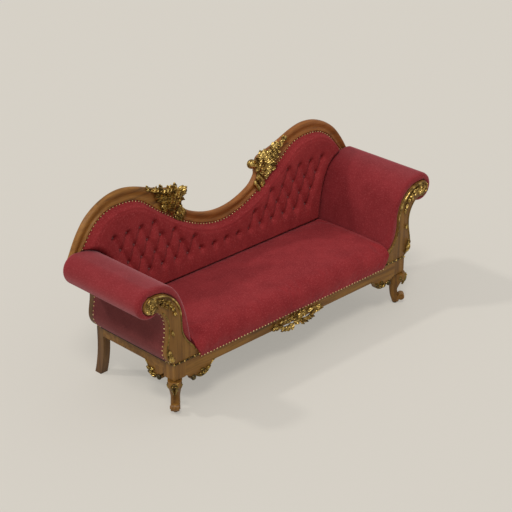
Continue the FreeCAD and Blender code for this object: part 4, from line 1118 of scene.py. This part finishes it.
def painted_shadow_strip():
    """A black strip that closes the gap between the side rail and the panel over it: a dark piece for painted shadow
    there.
    """
    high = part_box("right_side_rail")[1]
    strip = bmesh.new()
    bmesh.ops.create_cube(strip, size=1.0)
    front, rear = POST_SIZE, float(back_front_depth(FRAME_TOP)) - 0.001
    bmesh.ops.scale(strip, vec=(STRIP_THICK, rear - front, PANEL_FOOT - high.z + 0.001), verts=strip.verts)
    middle = rod(POST_OUTER - STRIP_THICK, (front + rear) / 2, (PANEL_FOOT + high.z) / 2)
    bmesh.ops.translate(strip, verts=strip.verts, vec=middle)
    bmesh.ops.bevel(strip, geom=strip.edges, offset=0.0006, segments=2, profile=0.5, affect="EDGES", material=-1)
    return strip


def painted_shadow_welt():
    """A cord, covered in black cloth, under the panel's lower edge where it stands out over the rail: black as painted
    shadow under that edge.
    """
    (x, z), = arm_points((-115.5, 0.0285))
    depths = np.linspace(FACING_THICK + 0.003, float(back_front_depth(z)) - 0.004, 30)[1:-1]
    stations = [(1e-7, depths[0]), *((WELT_R, depth) for depth in depths), (1e-7, depths[-1])]
    turns = np.radians(np.linspace(0, 360, 13))
    rows = [(x + far * np.cos(turns), depth + 0 * turns, z + far * np.sin(turns)) for far, depth in stations]
    return skin([rod_all(*row) for row in rows])


make_pair("painted_shadow_strip", painted_shadow_strip(), cambric)
make_pair("painted_shadow_welt", painted_shadow_welt(), cambric, (), 60)
for piece in make_pair("outside_panel", outside_panel(), crimson_outside_painted_shade, ["outside_arm_panel"], 60):
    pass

# %% Outside back
BACK_CLOTH_THICK = 0.0016
BACK_CLOTH_INSET = 0.014
BACK_CLOTH_SWELL = 0.0008
PULL_DEPTH, PULL_PITCH, PULL_REACH = 0.0007, 0.042, 0.012


def outside_back_lines():
    """Bottom, top and right-hand lines of the cloth that closes the back."""
    top = fabric_line + np.array([0.0, 0.020])
    side = arm_outer - np.array([BACK_CLOTH_INSET, 0.0])
    side = side[side[:, 1] > FRAME_TOP + SOFT_GAP]
    side = np.vstack([side, [[HALF_SPAN - BACK_CLOTH_INSET, SCROLL_Z + 0.008]], top[-1:]])
    return evenly([side[0] * MIRROR, side[0]], 160), evenly(top, 160), evenly(side, 44)


def outside_back():
    bottom, top, side = outside_back_lines()
    grid = cover_grid(bottom, top, side)
    flat = grid.reshape(-1, 2)
    shut = np.vstack([bottom, side, top[::-1], side[::-1] * MIRROR])
    edge = distance_to(shut, flat).reshape(grid.shape[:2])
    run = flat[:, 0].reshape(grid.shape[:2])
    pull = PULL_DEPTH * np.sin(run * 2 * math.pi / PULL_PITCH) * np.exp(-((edge / PULL_REACH - 1) ** 2))
    u, v = np.meshgrid(np.linspace(-1, 1, grid.shape[1]), np.linspace(-1, 1, grid.shape[0]))
    proud = BACK_CLOTH_THICK + BACK_CLOTH_SWELL * (1 - u**8) * (1 - v**8) + pull
    behind = BACK_PLANE + SOFT_GAP
    rows = [on_back_all(line, behind + rise) for line, rise in zip(grid, proud)]
    rows += [on_back_all(line, behind + rise - BACK_CLOTH_THICK) for line, rise in zip(grid[::-1], proud[::-1])]
    made = make_piece(
        "outside_back_cloth", skin(rows + rows[:1]), crimson_outside_painted_shade, ["outside_back"], 60
    )


outside_back()

# %% Dust cover
CAMBRIC_THICK = 0.0008
CAMBRIC_SAG, TACK_WAVE = 0.006, 0.0012


def dust_cover():
    """Thin black cambric under the seat, tacked all round and sagging between its tacks."""
    low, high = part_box("dust_cover")
    across, along = np.linspace(low.x, high.x, 90), np.linspace(low.y, high.y, 36)
    u, v = np.meshgrid(np.linspace(-1, 1, 90), np.linspace(-1, 1, 36))
    sag = CAMBRIC_SAG * (1 - u**6) * (1 - v**4) + TACK_WAVE * np.cos(u * 60) * (1 - v**2)
    rows = [np.stack([across, np.full(90, y), high.z - 0.0002 - drop], axis=-1) for y, drop in zip(along, sag)]
    under = [row - (0.0, 0.0, CAMBRIC_THICK) for row in rows[::-1]]
    made = make_piece("cambric_cover", skin(rows + under + rows[:1]), cambric, ["dust_cover"])


dust_cover()

# %% [markdown]
# **The arm facings** are flat boards sawn to the arm's S, with a rounded edge. One face is drawn from the outline,
# drawn back to a thickness, and its front edge is bevelled in three steps, which catches a line of light.

# %% Facing boards
FACING_STATIONS = 220
FACING_BEVEL = 0.0035


def facing_board():
    bm = bmesh.new()
    outline = evenly(closed(facing_outline), FACING_STATIONS + 1)[:-1]
    ring = [bm.verts.new(rod(x, 0.0, z)) for x, z in outline]
    sides = [bm.edges.new(pair) for pair in zip(ring, ring[1:] + ring[:1])]
    face = bmesh.ops.edgeloop_fill(bm, edges=sides)["faces"][0]
    drawn = bmesh.ops.extrude_face_region(bm, geom=[face], use_keep_orig=True)["geom"]
    moved = [item for item in drawn if isinstance(item, bmesh.types.BMVert)]
    bmesh.ops.translate(bm, verts=moved, vec=(0, FACING_THICK, 0))
    bmesh.ops.recalc_face_normals(bm, faces=bm.faces)
    rim = list(min(bm.faces, key=lambda side: side.calc_center_median().y).edges)
    bmesh.ops.bevel(bm, geom=rim, offset=FACING_BEVEL, segments=3, profile=0.5, affect="EDGES", material=-1)
    return bm


make_pair("facing_board", facing_board(), walnut_standing, ["arm_facing"], 30)

# %% [markdown]
# **Carving and gilding.** The ornament is built up from a few carver's forms: a half-round ridge that can taper
# and curl into a scroll, an acanthus leaf, a berry and a boss. Each is made once from a few faces and laid many
# times, on the front of the boards or on the leaning crest, so that leaves overlap as they do in real carving.

# %% Where carving lies
BOARD_FACE = Vector((0, -1, 0))
CREST_FACE = Vector((0, -math.cos(LEAN), math.sin(LEAN)))


def on_board(x, z, proud=0.0):
    return rod(x, -proud, z)


def on_crest(x, z, proud=0.0):
    return on_back(x, BACK_FACE - proud, z)


def laid(origin, normal, heading, size, tilt=0.0, roll=0.0):
    """A carver's form laid on a face: its length turned to a heading in degrees, then tipped off the face."""
    normal = normal.normalized()
    upward = (Vector((0, 0, 1)) - normal * normal.z).normalized()
    turn = math.radians(heading)
    along = upward.cross(normal) * math.cos(turn) + upward * math.sin(turn)
    across = along.cross(normal)
    basis = Matrix((across, along, normal)).transposed().to_4x4()
    tip = Matrix.Rotation(math.radians(tilt), 4, "X") @ Matrix.Rotation(math.radians(roll), 4, "Y")
    return Matrix.Translation(origin) @ basis @ tip @ Matrix.Scale(size, 4)


# %% Ridges and scrolls
RIDGE_ROOT = 0.001


def ridge(line, width, height, place, sides=8):
    """A half-round ridge along a flat line. Width and height are one number or one for each station."""
    side = leftward(line) * np.broadcast_to(width, len(line))[:, None]
    height = np.broadcast_to(height, len(line))
    rows = []
    for angle in np.linspace(0.0, math.pi, sides):
        flat = line + side * math.cos(angle)
        rows.append([place(x, z, rise * math.sin(angle)) for (x, z), rise in zip(flat, height)])
    for flat in (line - side, line + side):
        rows.append([place(x, z, -RIDGE_ROOT) for x, z in flat])
    return skin(rows + rows[:1])


def spiral(centre, outer, inner, start, turns, count=60):
    """A scroll's line, from its outer end in to its eye. Positive turns go anticlockwise."""
    share = np.linspace(0.0, 1.0, count)
    radius = outer * (inner / outer) ** share
    angle = math.radians(start) + 2 * math.pi * turns * share
    return np.column_stack([centre[0] + radius * np.cos(angle), centre[1] + radius * np.sin(angle)])


def scroll_ridge(line, width, height, place):
    """A ridge that tapers along its line, with its width and its height at both ends."""
    return ridge(line, np.linspace(*width, len(line)), np.linspace(*height, len(line)), place)


# %% Leaf, berry and boss
PETALS = 8


def leaf_form():
    """An acanthus leaf one unit long: lobed edges, a sunk midrib, ribs and a curled tip."""
    rows = []
    for v in np.linspace(0.0, 1.0, 13):
        width = 0.30 * math.sin(math.pi * min(v * 0.93 + 0.07, 1.0)) ** 0.75 * (1 + 0.22 * math.sin(7 * math.pi * v))
        width = max(width, 0.012)
        row = []
        for u in np.linspace(-1.0, 1.0, 9):
            hump = 0.13 * (1 - abs(abs(u) - 0.5) * 2) - 0.05 * (1 - min(abs(u) * 4, 1.0))
            curl = 0.16 * math.sin(math.pi * v) + 0.26 * max(v - 0.72, 0.0)
            row.append((u * width, v - 0.10 * abs(u) * width, hump + curl + 0.015 * math.sin(9 * math.pi * v) * abs(u)))
        rows.append(row)
    bm = skin(rows, close=False)
    walls = bmesh.ops.extrude_face_region(bm, geom=list(bm.faces), use_keep_orig=True)
    under = [item for item in walls["geom"] if isinstance(item, bmesh.types.BMVert)]
    bmesh.ops.translate(bm, verts=under, vec=(0, 0, -0.13))
    bmesh.ops.recalc_face_normals(bm, faces=bm.faces)
    return bm


def boss_form():
    """A round flower: a domed eye in a ring of petals."""
    bm, petal = bmesh.new(), leaf_form()
    lay(bm, ball_form(12, 6), sized((0, 0, 0.26), 0.34, 0.34, 0.34))
    for step in range(PETALS):
        lay(bm, petal, Matrix.Rotation(2 * math.pi * step / PETALS, 4, "Z") @ sized((0, 0.16, 0), 1.0, 0.86, 0.9))
    return bm


leaf, berry, boss = leaf_form(), ball_form(10, 6), boss_form()


def spray(bm, leaves, place, face, proud, tilt, berries=None):
    """Leaves on a face, from rows of x, z, heading and size; berries at their roots are given by height and size."""
    for x, z, heading, size in leaves:
        lay(bm, leaf, laid(place(x, z, proud), face, heading, size, tilt))
        if berries:
            lay(bm, berry, laid(place(x, z, berries[0]), face, 0, berries[1]))


# %% [markdown]
# **The crest carving** covers the whole face of the rail beside the knob and thins out along its top edge. A carver
# cuts it leaf by leaf, so leaves are laid in rows across the face, each row shorter than the one above, with
# flowers between them and a few tips that stand up past the edge. The knob is a ball with a scroll wound on it.

# %% Crest carving
# Each row of leaves: its share of the way down the face, and the station of the rail where it ends.
ROWS_OF_LEAVES = [(0.03, 37), (0.17, 34), (0.31, 29), (0.45, 24), (0.59, 20), (0.73, 16), (0.87, 13)]
# Each tip that stands up past the edge: its station, its size and its turn.
STANDING_LEAVES = [(4, 0.034, 70), (11, 0.046, 34), (16, 0.030, 80), (23, 0.042, 30), (28, 0.024, 60), (35, 0.030, 22)]
# Leaves round the knob: out from its middle, up, heading and size.
KNOB_LEAVES = [
    (0.030, 0.016, 160, 0.040), (0.034, -0.004, 185, 0.036), (0.044, 0.020, 140, 0.036), (0.040, -0.022, 215, 0.034),
    (0.052, 0.002, 172, 0.036), (0.020, 0.026, 200, 0.030),
]
KNOB_TURN = 195
KNOB_DEPTH = 0.024
KNOB_SEAT = 0.0115
BALL_X = KNOB_X + 0.006


def across_face(top, low, step, down):
    """A place between a rail's two lines, and the heading of the rail there."""
    x, z = top[step] + (low[step] - top[step]) * down
    dx, dz = top[min(step + 1, len(top) - 1)] - top[max(step - 1, 0)]
    return x, z, math.degrees(math.atan2(dz, dx))


def knob_face(x, z, proud):
    """A place on the ball of the knob."""
    out = ((x - BALL_X) ** 2 + (z - KNOB_Z) ** 2) / KNOB_R**2
    return on_crest(x, z, proud + KNOB_DEPTH * math.sqrt(max(1.0 - out, 0.0)) - KNOB_SEAT)


def crest_carving():
    bm = bmesh.new()
    middle = on_back(BALL_X, BACK_FACE + 0.011, KNOB_Z)
    lay(bm, ball_form(28, 16), sized(middle, KNOB_R, KNOB_DEPTH, KNOB_R))
    scroll = spiral((BALL_X, KNOB_Z), KNOB_R - 0.002, 0.006, KNOB_TURN, -1.6, 80)
    gather(bm, scroll_ridge(scroll, (0.0052, 0.0022), (0.0045, 0.0035), knob_face))
    for row, (down, last) in enumerate(ROWS_OF_LEAVES):
        for step in range(1 + row % 2, last, 3):
            x, z, heading = across_face(hump_top, hump_low, step, down)
            turn, size = (26, -24, 4)[(row + step) % 3], 0.042 - 0.014 * step / 42
            lay(bm, leaf, laid(on_crest(x, z, 0.003), CREST_FACE, heading + turn, size, 15, 5 * (-1) ** row))
            if (row + step) % 2:
                lay(bm, berry, laid(on_crest(x, z, 0.009), CREST_FACE, 0, 0.0048))
            elif row < 4 and step % 4 == 1:
                lay(bm, boss, laid(on_crest(x, z, 0.007), CREST_FACE, 0, 0.016 - 0.0001 * step))
    for down in (0.12, 0.36, 0.60, 0.84):
        for step in (74, 77, 79):
            x, z, heading = across_face(dip_top, dip_low, step, down)
            lay(bm, leaf, laid(on_crest(x, z, 0.003), CREST_FACE, heading + 150 + 30 * (step % 3), 0.032, 15))
            lay(bm, berry, laid(on_crest(x, z, 0.008), CREST_FACE, 0, 0.0042))
    spray(bm, KNOB_LEAVES, lambda out, up, proud: on_crest(KNOB_X + out, KNOB_Z + up, proud), CREST_FACE,
          0.006, 16, (0.010, 0.005))
    for step, size, turn in STANDING_LEAVES:
        x, z, heading = across_face(hump_top, hump_low, step, 0.0)
        for depth, more in ((0.0, 0), (0.010, 26), (0.016, -20)):
            root = on_back(x, BACK_FACE + depth, z - 0.010)
            lay(bm, leaf, laid(root, CREST_FACE, heading + turn + more, size, 14, 12))
        lay(bm, boss, laid(on_crest(x + 0.006, z - 0.002, 0.006), CREST_FACE, 0, 0.012))
    return bm


make_pair("crest_leafwork", crest_carving(), gilt, ["crest_carving"], 50)

# %% [markdown]
# **The rail carving** is a shell with a scroll and trailing leaves on each side, and hangs a little below the rail.
# Its right half is laid leaf by leaf and mirrored.

# %% Rail carving
RAIL_MIDDLE_Z = 0.224
# Leaves of the right half: x, z, heading and size.
RAIL_LEAVES = [
    (0.028, 0.204, -58, 0.036), (0.050, 0.200, -38, 0.036), (0.072, 0.204, -30, 0.036), (0.094, 0.206, -22, 0.036),
    (0.110, 0.212, 26, 0.040), (0.136, 0.220, 8, 0.040), (0.158, 0.228, -8, 0.036), (0.080, 0.236, 24, 0.036),
    (0.104, 0.242, 6, 0.034), (0.036, 0.240, 62, 0.028), (0.150, 0.238, 20, 0.030), (0.018, 0.244, 78, 0.024),
]


def rail_half():
    """The right half of the rail's ornament, from the shell outwards."""
    bm = bmesh.new()
    for angle in (-90, -58, -28, 4, 36, 66):
        size = 0.040 if angle < 40 else 0.030
        lay(bm, leaf, laid(on_board(0.0, RAIL_MIDDLE_Z + 0.006, 0.004), BOARD_FACE, angle, size, 12))
    scroll_eye, hook_eye = (0.060, RAIL_MIDDLE_Z + 0.004), (0.128, RAIL_MIDDLE_Z - 0.004)
    tail = smooth_line([(0.040, 0.206), (0.075, 0.200), (0.112, 0.214), (0.150, 0.232), (0.186, 0.236)], 40)
    for line, width, height in (
        (spiral(scroll_eye, 0.021, 0.005, 170, -1.4), (0.0050, 0.0022), (0.0095, 0.005)),
        (tail, (0.0055, 0.0014), (0.009, 0.003)),
        (spiral(hook_eye, 0.016, 0.004, 120, 1.3), (0.0042, 0.0018), (0.008, 0.004)),
    ):
        gather(bm, scroll_ridge(line, width, height, on_board))
    lay(bm, boss, laid(on_board(*scroll_eye, 0.006), BOARD_FACE, 0, 0.011))
    lay(bm, boss, laid(on_board(*hook_eye, 0.004), BOARD_FACE, 0, 0.008))
    spray(bm, RAIL_LEAVES, on_board, BOARD_FACE, 0.003, 12, (0.006, 0.0042))
    return bm


def rail_carving():
    right = rail_half()
    gather(right, mirrored(right))
    lay(right, boss, laid(on_board(0.0, RAIL_MIDDLE_Z + 0.004, 0.010), BOARD_FACE, 0, 0.017))
    return right


make_piece("rail_shell", rail_carving(), gilt, ["rail_carving"], 50)

# %% [markdown]
# **The facing's ornament.** A volute is a ridge that runs up the shoulder, over the top and in to a flower at the
# eye, so its line is the shoulder's followed by a spiral. A quiet bead follows the board's two edges, leaves lie
# along the shoulder and a spray of them stands at the foot.

# %% Facing ornament
# Leaves and bosses of the facing: out from the scroll's middle, up the arm's rise, heading and size.
SHOULDER_LEAVES = [
    (-32, 1.035, 182, 0.034), (-58, 1.025, 190, 0.036), (-84, 0.99, 204, 0.036), (-108, 0.935, 220, 0.034),
    (-128, 0.865, 236, 0.032), (-142, 0.785, 250, 0.028), (-52, 0.975, 200, 0.028), (-80, 0.925, 214, 0.028),
]
FOOT_LEAVES = [
    (-112, 0.085, 84, 0.044), (-118, 0.11, 58, 0.034), (-108, 0.10, 112, 0.032), (-124, 0.07, 30, 0.028),
    (-104, 0.17, 88, 0.034), (-118, 0.05, 140, 0.026), (-128, 0.465, 84, 0.024), (-128, 0.500, -96, 0.024),
]
FACING_BOSSES = [(-114, 0.10, 0.0085), (-109, 0.19, 0.006), (-128, 0.482, 0.007)]


def on_facing(out, up, proud):
    """A place on the facing, out from the scroll's centre and up the arm's rise."""
    return on_board(*arm_points((out, up))[0], proud)


def stretch(line, low, high, count):
    """The part of a line between two heights."""
    kept = line[(line[:, 1] > low) & (line[:, 1] < high)]
    return evenly(kept, count)


def facing_beads():
    bm = bmesh.new()
    inner = stretch(shifted(facing_inner, 0.0075), FRAME_TOP + 0.022, FRAME_TOP + 0.93 * ARM_RISE, 70)
    outer = stretch(shifted(arm_outer, 0.0075), FRAME_TOP + 0.012, FRAME_TOP + 0.84 * ARM_RISE, 70)
    for line in (inner, outer):
        gather(bm, ridge(line, 0.0036, 0.0030, on_board, 6))
    return bm


def facing_ornament():
    bm = bmesh.new()
    shoulder = shifted(facing_inner, 0.0066)[::-1]
    shoulder = evenly(shoulder[(shoulder[:, 1] > FRAME_TOP + 0.60 * ARM_RISE) & (shoulder[:, 0] < HALF_SPAN)], 60)
    lay(bm, ball_form(32, 12), sized(on_board(HALF_SPAN, SCROLL_Z), 0.0415, 0.0062, 0.0415))
    scroll = spiral((HALF_SPAN, SCROLL_Z), VOLUTE_R - 0.0052, 0.013, 90, -1.3, 90)
    line = evenly(np.vstack([shoulder, scroll]), 170)
    swell = np.minimum(np.linspace(0.0, 5.0, len(line)), 1.0)
    width = (0.0022 + 0.0046 * swell) * np.linspace(1.0, 0.62, len(line))
    gather(bm, ridge(line, width, 0.0020 + 0.0082 * swell, on_board))
    lay(bm, boss, laid(on_board(HALF_SPAN, SCROLL_Z, 0.005), BOARD_FACE, 20, 0.021))
    for angle in range(0, 360, 60):
        turn = math.radians(angle + 15)
        x, z = HALF_SPAN + 0.027 * math.cos(turn), SCROLL_Z + 0.027 * math.sin(turn)
        lay(bm, leaf, laid(on_board(x, z, 0.004), BOARD_FACE, angle + 60, 0.020, 8))
    spray(bm, SHOULDER_LEAVES, on_facing, BOARD_FACE, 0.002, 10)
    spray(bm, FOOT_LEAVES, on_facing, BOARD_FACE, 0.001, 10)
    for out, up, size in FACING_BOSSES:
        lay(bm, boss, laid(on_facing(out, up, 0.004), BOARD_FACE, 0, size))
    return bm


make_pair("facing_beading", facing_beads(), old_gold)
make_pair("facing_scrollwork", facing_ornament(), gilt, ["facing_carving"], 50)

# %% [markdown]
# **Knees, brackets and the string of beads.** A spray of leaves hangs from each knee, a thin ridge outlines the
# shaped brackets, and a string of small beads runs round the posts where the facing stands on them.

# %% Knees, brackets and beads
POST_INNER = POST_OUTER - POST_SIZE
FRONT_RAIL_Z, SIDE_RAIL_Z = 0.215, 0.237
SIDE_FACE = Vector((1, 0, 0))
# Leaves of a bracket: shares of its length and of its drop, heading and size.
BRACKET_LEAVES = [
    (0.40, 0.70, -12, 0.034), (0.55, 0.72, 14, 0.034), (0.68, 0.55, 32, 0.030), (0.50, 0.40, 4, 0.026),
]
BRACKET_ROLL_AT = (0.25, 0.76)
BRACKET_ROLL_R = 0.0152
DIAGONAL = Vector((1, -1, 0)).normalized()
# Leaves of a knee: turn about the post, heading, size, reach from the post's middle, and height.
KNEE_LEAVES = [
    (0, -90, 0.064, 0.062, 0.186), (-38, -78, 0.046, 0.050, 0.184), (38, -102, 0.046, 0.050, 0.184),
    (-20, -60, 0.032, 0.060, 0.188), (20, -120, 0.032, 0.060, 0.188), (0, -90, 0.034, 0.056, 0.146),
]
BEAD_PITCH = 0.0112


def round_through(first, middle, last, count):
    """Places on the circle through three points."""
    steps = 2 * np.array([middle - first, last - middle])
    centre = np.linalg.solve(steps, [middle @ middle - first @ first, last @ last - middle @ middle])
    turns = np.degrees(np.unwrap([math.atan2(z, x) for x, z in (first - centre, middle - centre, last - centre)]))
    return arc(centre, np.linalg.norm(first - centre), turns[0], turns[2], count)


def on_ear(along, up, proud):
    """A place on the front bracket, from its corner under the rail and beside the post."""
    return on_board(POST_INNER - along, FRONT_RAIL_Z + up, proud)


def on_side_ear(along, up, proud):
    return rod(POST_OUTER + proud, POST_SIZE + along, SIDE_RAIL_Z + up)


# Each bracket: its length and drop, its face and the way its leaves turn.
BRACKETS = [
    (np.array([0.199, -0.062]), on_ear, BOARD_FACE, 180, -1), (np.array([0.140, -0.080]), on_side_ear, SIDE_FACE, 0, 1),
]


def bracket_gilding():
    """A thin ridge along the shaped lower edge of each bracket, from its thin end to its roll, and a few leaves."""
    bm = bmesh.new()
    for size, place, face, turn, way in BRACKETS:
        thin, hollow, cusp, belly, roll = size * [(1, 0), (0.87, 0.24), (0.79, 0.62), (0.56, 1), (0.32, 0.68)]
        edge = np.vstack([round_through(thin, hollow, cusp, 16), round_through(cusp, belly, roll, 24)[1:]])
        gather(bm, ridge(evenly(shifted(edge, -0.0034), 80)[2:], 0.0028, 0.0046, place, 6))
        leaves = [(*size * (u, v), turn + way * heading, length) for u, v, heading, length in BRACKET_LEAVES]
        spray(bm, leaves, place, face, 0.001, 10, (0.004, 0.0036))
    return bm


def bracket_rolls():
    """The rolled-up end of each bracket: a dark domed ball."""
    bm, ball = bmesh.new(), ball_form(20, 12)
    for size, place, face, _, _ in BRACKETS:
        flattened = (BRACKET_ROLL_R * (1 - 0.28 * abs(part)) for part in face)
        lay(bm, ball, sized(place(*size * BRACKET_ROLL_AT, 0.001), *flattened))
    return bm


def on_knee(way, reach, height):
    """A place out from the post's middle, above the floor."""
    return rod(POST_OUTER - POST_SIZE / 2, POST_SIZE / 2, height) + way * reach


def knee_leaves():
    """A spray of leaves over the knee; the lowest leaf is the smallest."""
    bm = bmesh.new()
    for turn, heading, size, reach, height in KNEE_LEAVES:
        way = DIAGONAL.copy()
        way.rotate(Matrix.Rotation(math.radians(turn), 3, "Z"))
        lay(bm, leaf, laid(on_knee(way, reach, height), way + Vector((0, 0, -0.16)), heading, size, -6))
    return bm


def knee_flower():
    """The bright flower at the point of the knee."""
    bm = bmesh.new()
    lay(bm, boss, laid(on_knee(DIAGONAL, 0.070, 0.172), DIAGONAL, 0, 0.013))
    return bm


def bead_string(bright):
    """The string of beads at the top of a post: every third bead is bright and larger, the others dark."""
    bm = bmesh.new()
    z, size = FRAME_TOP - 0.0035, 0.0060 if bright else 0.0046
    front = np.arange(FACING_FOOT_X + 0.005, POST_OUTER + 0.002, BEAD_PITCH)
    side = np.arange(0.006, POST_SIZE, BEAD_PITCH)
    places = [rod(x, -0.0012, z) for x in front] + [rod(POST_OUTER + 0.0012, depth, z) for depth in side]
    for count, place in enumerate(places):
        if (count % 3 == 0) == bright:
            lay(bm, berry, sized(place, size, size, size))
    return bm


make_pair("bracket_gilding", bracket_gilding(), old_gold, [], 50)
make_pair("bracket_rolls", bracket_rolls(), dark_gilt, [], 50)
make_pair("knee_leaves", knee_leaves(), old_gold, ["knee_carving"], 50)
make_pair("knee_flower", knee_flower(), gilt, [], 50)
make_pair("bright_beads", bead_string(True), gilt, ["post_bead"], 60)
make_pair("dark_beads", bead_string(False), dark_gilt, [], 60)

# %% [markdown]
# **Upholstery nails.** The cover is fixed with domed brass nails in rows: under the crest, along the front rail,
# and down both edges of the outside arm panels. Each is a squashed dome of a few dozen faces, set on the cloth and
# turned to face the way the cloth does.

# %% Nails
NAIL_R = 0.0046
nail = ball_form(8, 6)


def set_nail(bm, place, normal):
    turned = normal.to_track_quat("Z", "Y").to_matrix().to_4x4()
    lay(bm, nail, Matrix.Translation(place) @ turned @ sized((0, 0, 0), NAIL_R, NAIL_R, 0.62 * NAIL_R))


def nail_count(line):
    return int(steps_of(line).sum() / NAIL_PITCH)


def nail_row(line, place, proud, normal):
    """Nails at an even pitch along a line."""
    bm = bmesh.new()
    for x, z in evenly(line, nail_count(line)):
        set_nail(bm, place(x, z, proud), normal)
    return bm


def crest_nails():
    line = shifted(fabric_line, -0.0045)
    return nail_row(line[np.abs(line[:, 0]) < back_opening()[1][-1][0] - 0.004], on_crest, 0.0022, CREST_FACE)


def front_nails():
    reach, z = FACING_FOOT_X - 0.006, COVER_LINE + 0.0052
    return nail_row(np.array([(-reach, z), (reach, z)]), on_board, 0.0046, BOARD_FACE)


def panel_nails():
    """Nails down both edges of the outside panel, on the arm's outer line."""
    bm = bmesh.new()
    line = stretch(arm_outer, FRAME_TOP + 0.004, FRAME_TOP + 0.80 * ARM_RISE, 60)
    outward = -leftward(line)
    for mark in np.linspace(0, len(line) - 1, nail_count(line)).astype(int):
        x, z = line[mark]
        normal = Vector((outward[mark, 0], 0, outward[mark, 1]))
        for depth in (FACING_THICK + 0.006, back_front_depth(z) - 0.008):
            set_nail(bm, rod(x, depth, z) + normal * 0.0006, normal)
    return bm


make_piece("crest_nails", crest_nails(), brass)
make_piece("front_nails", front_nails(), brass)
make_pair("panel_nails", panel_nails(), brass)
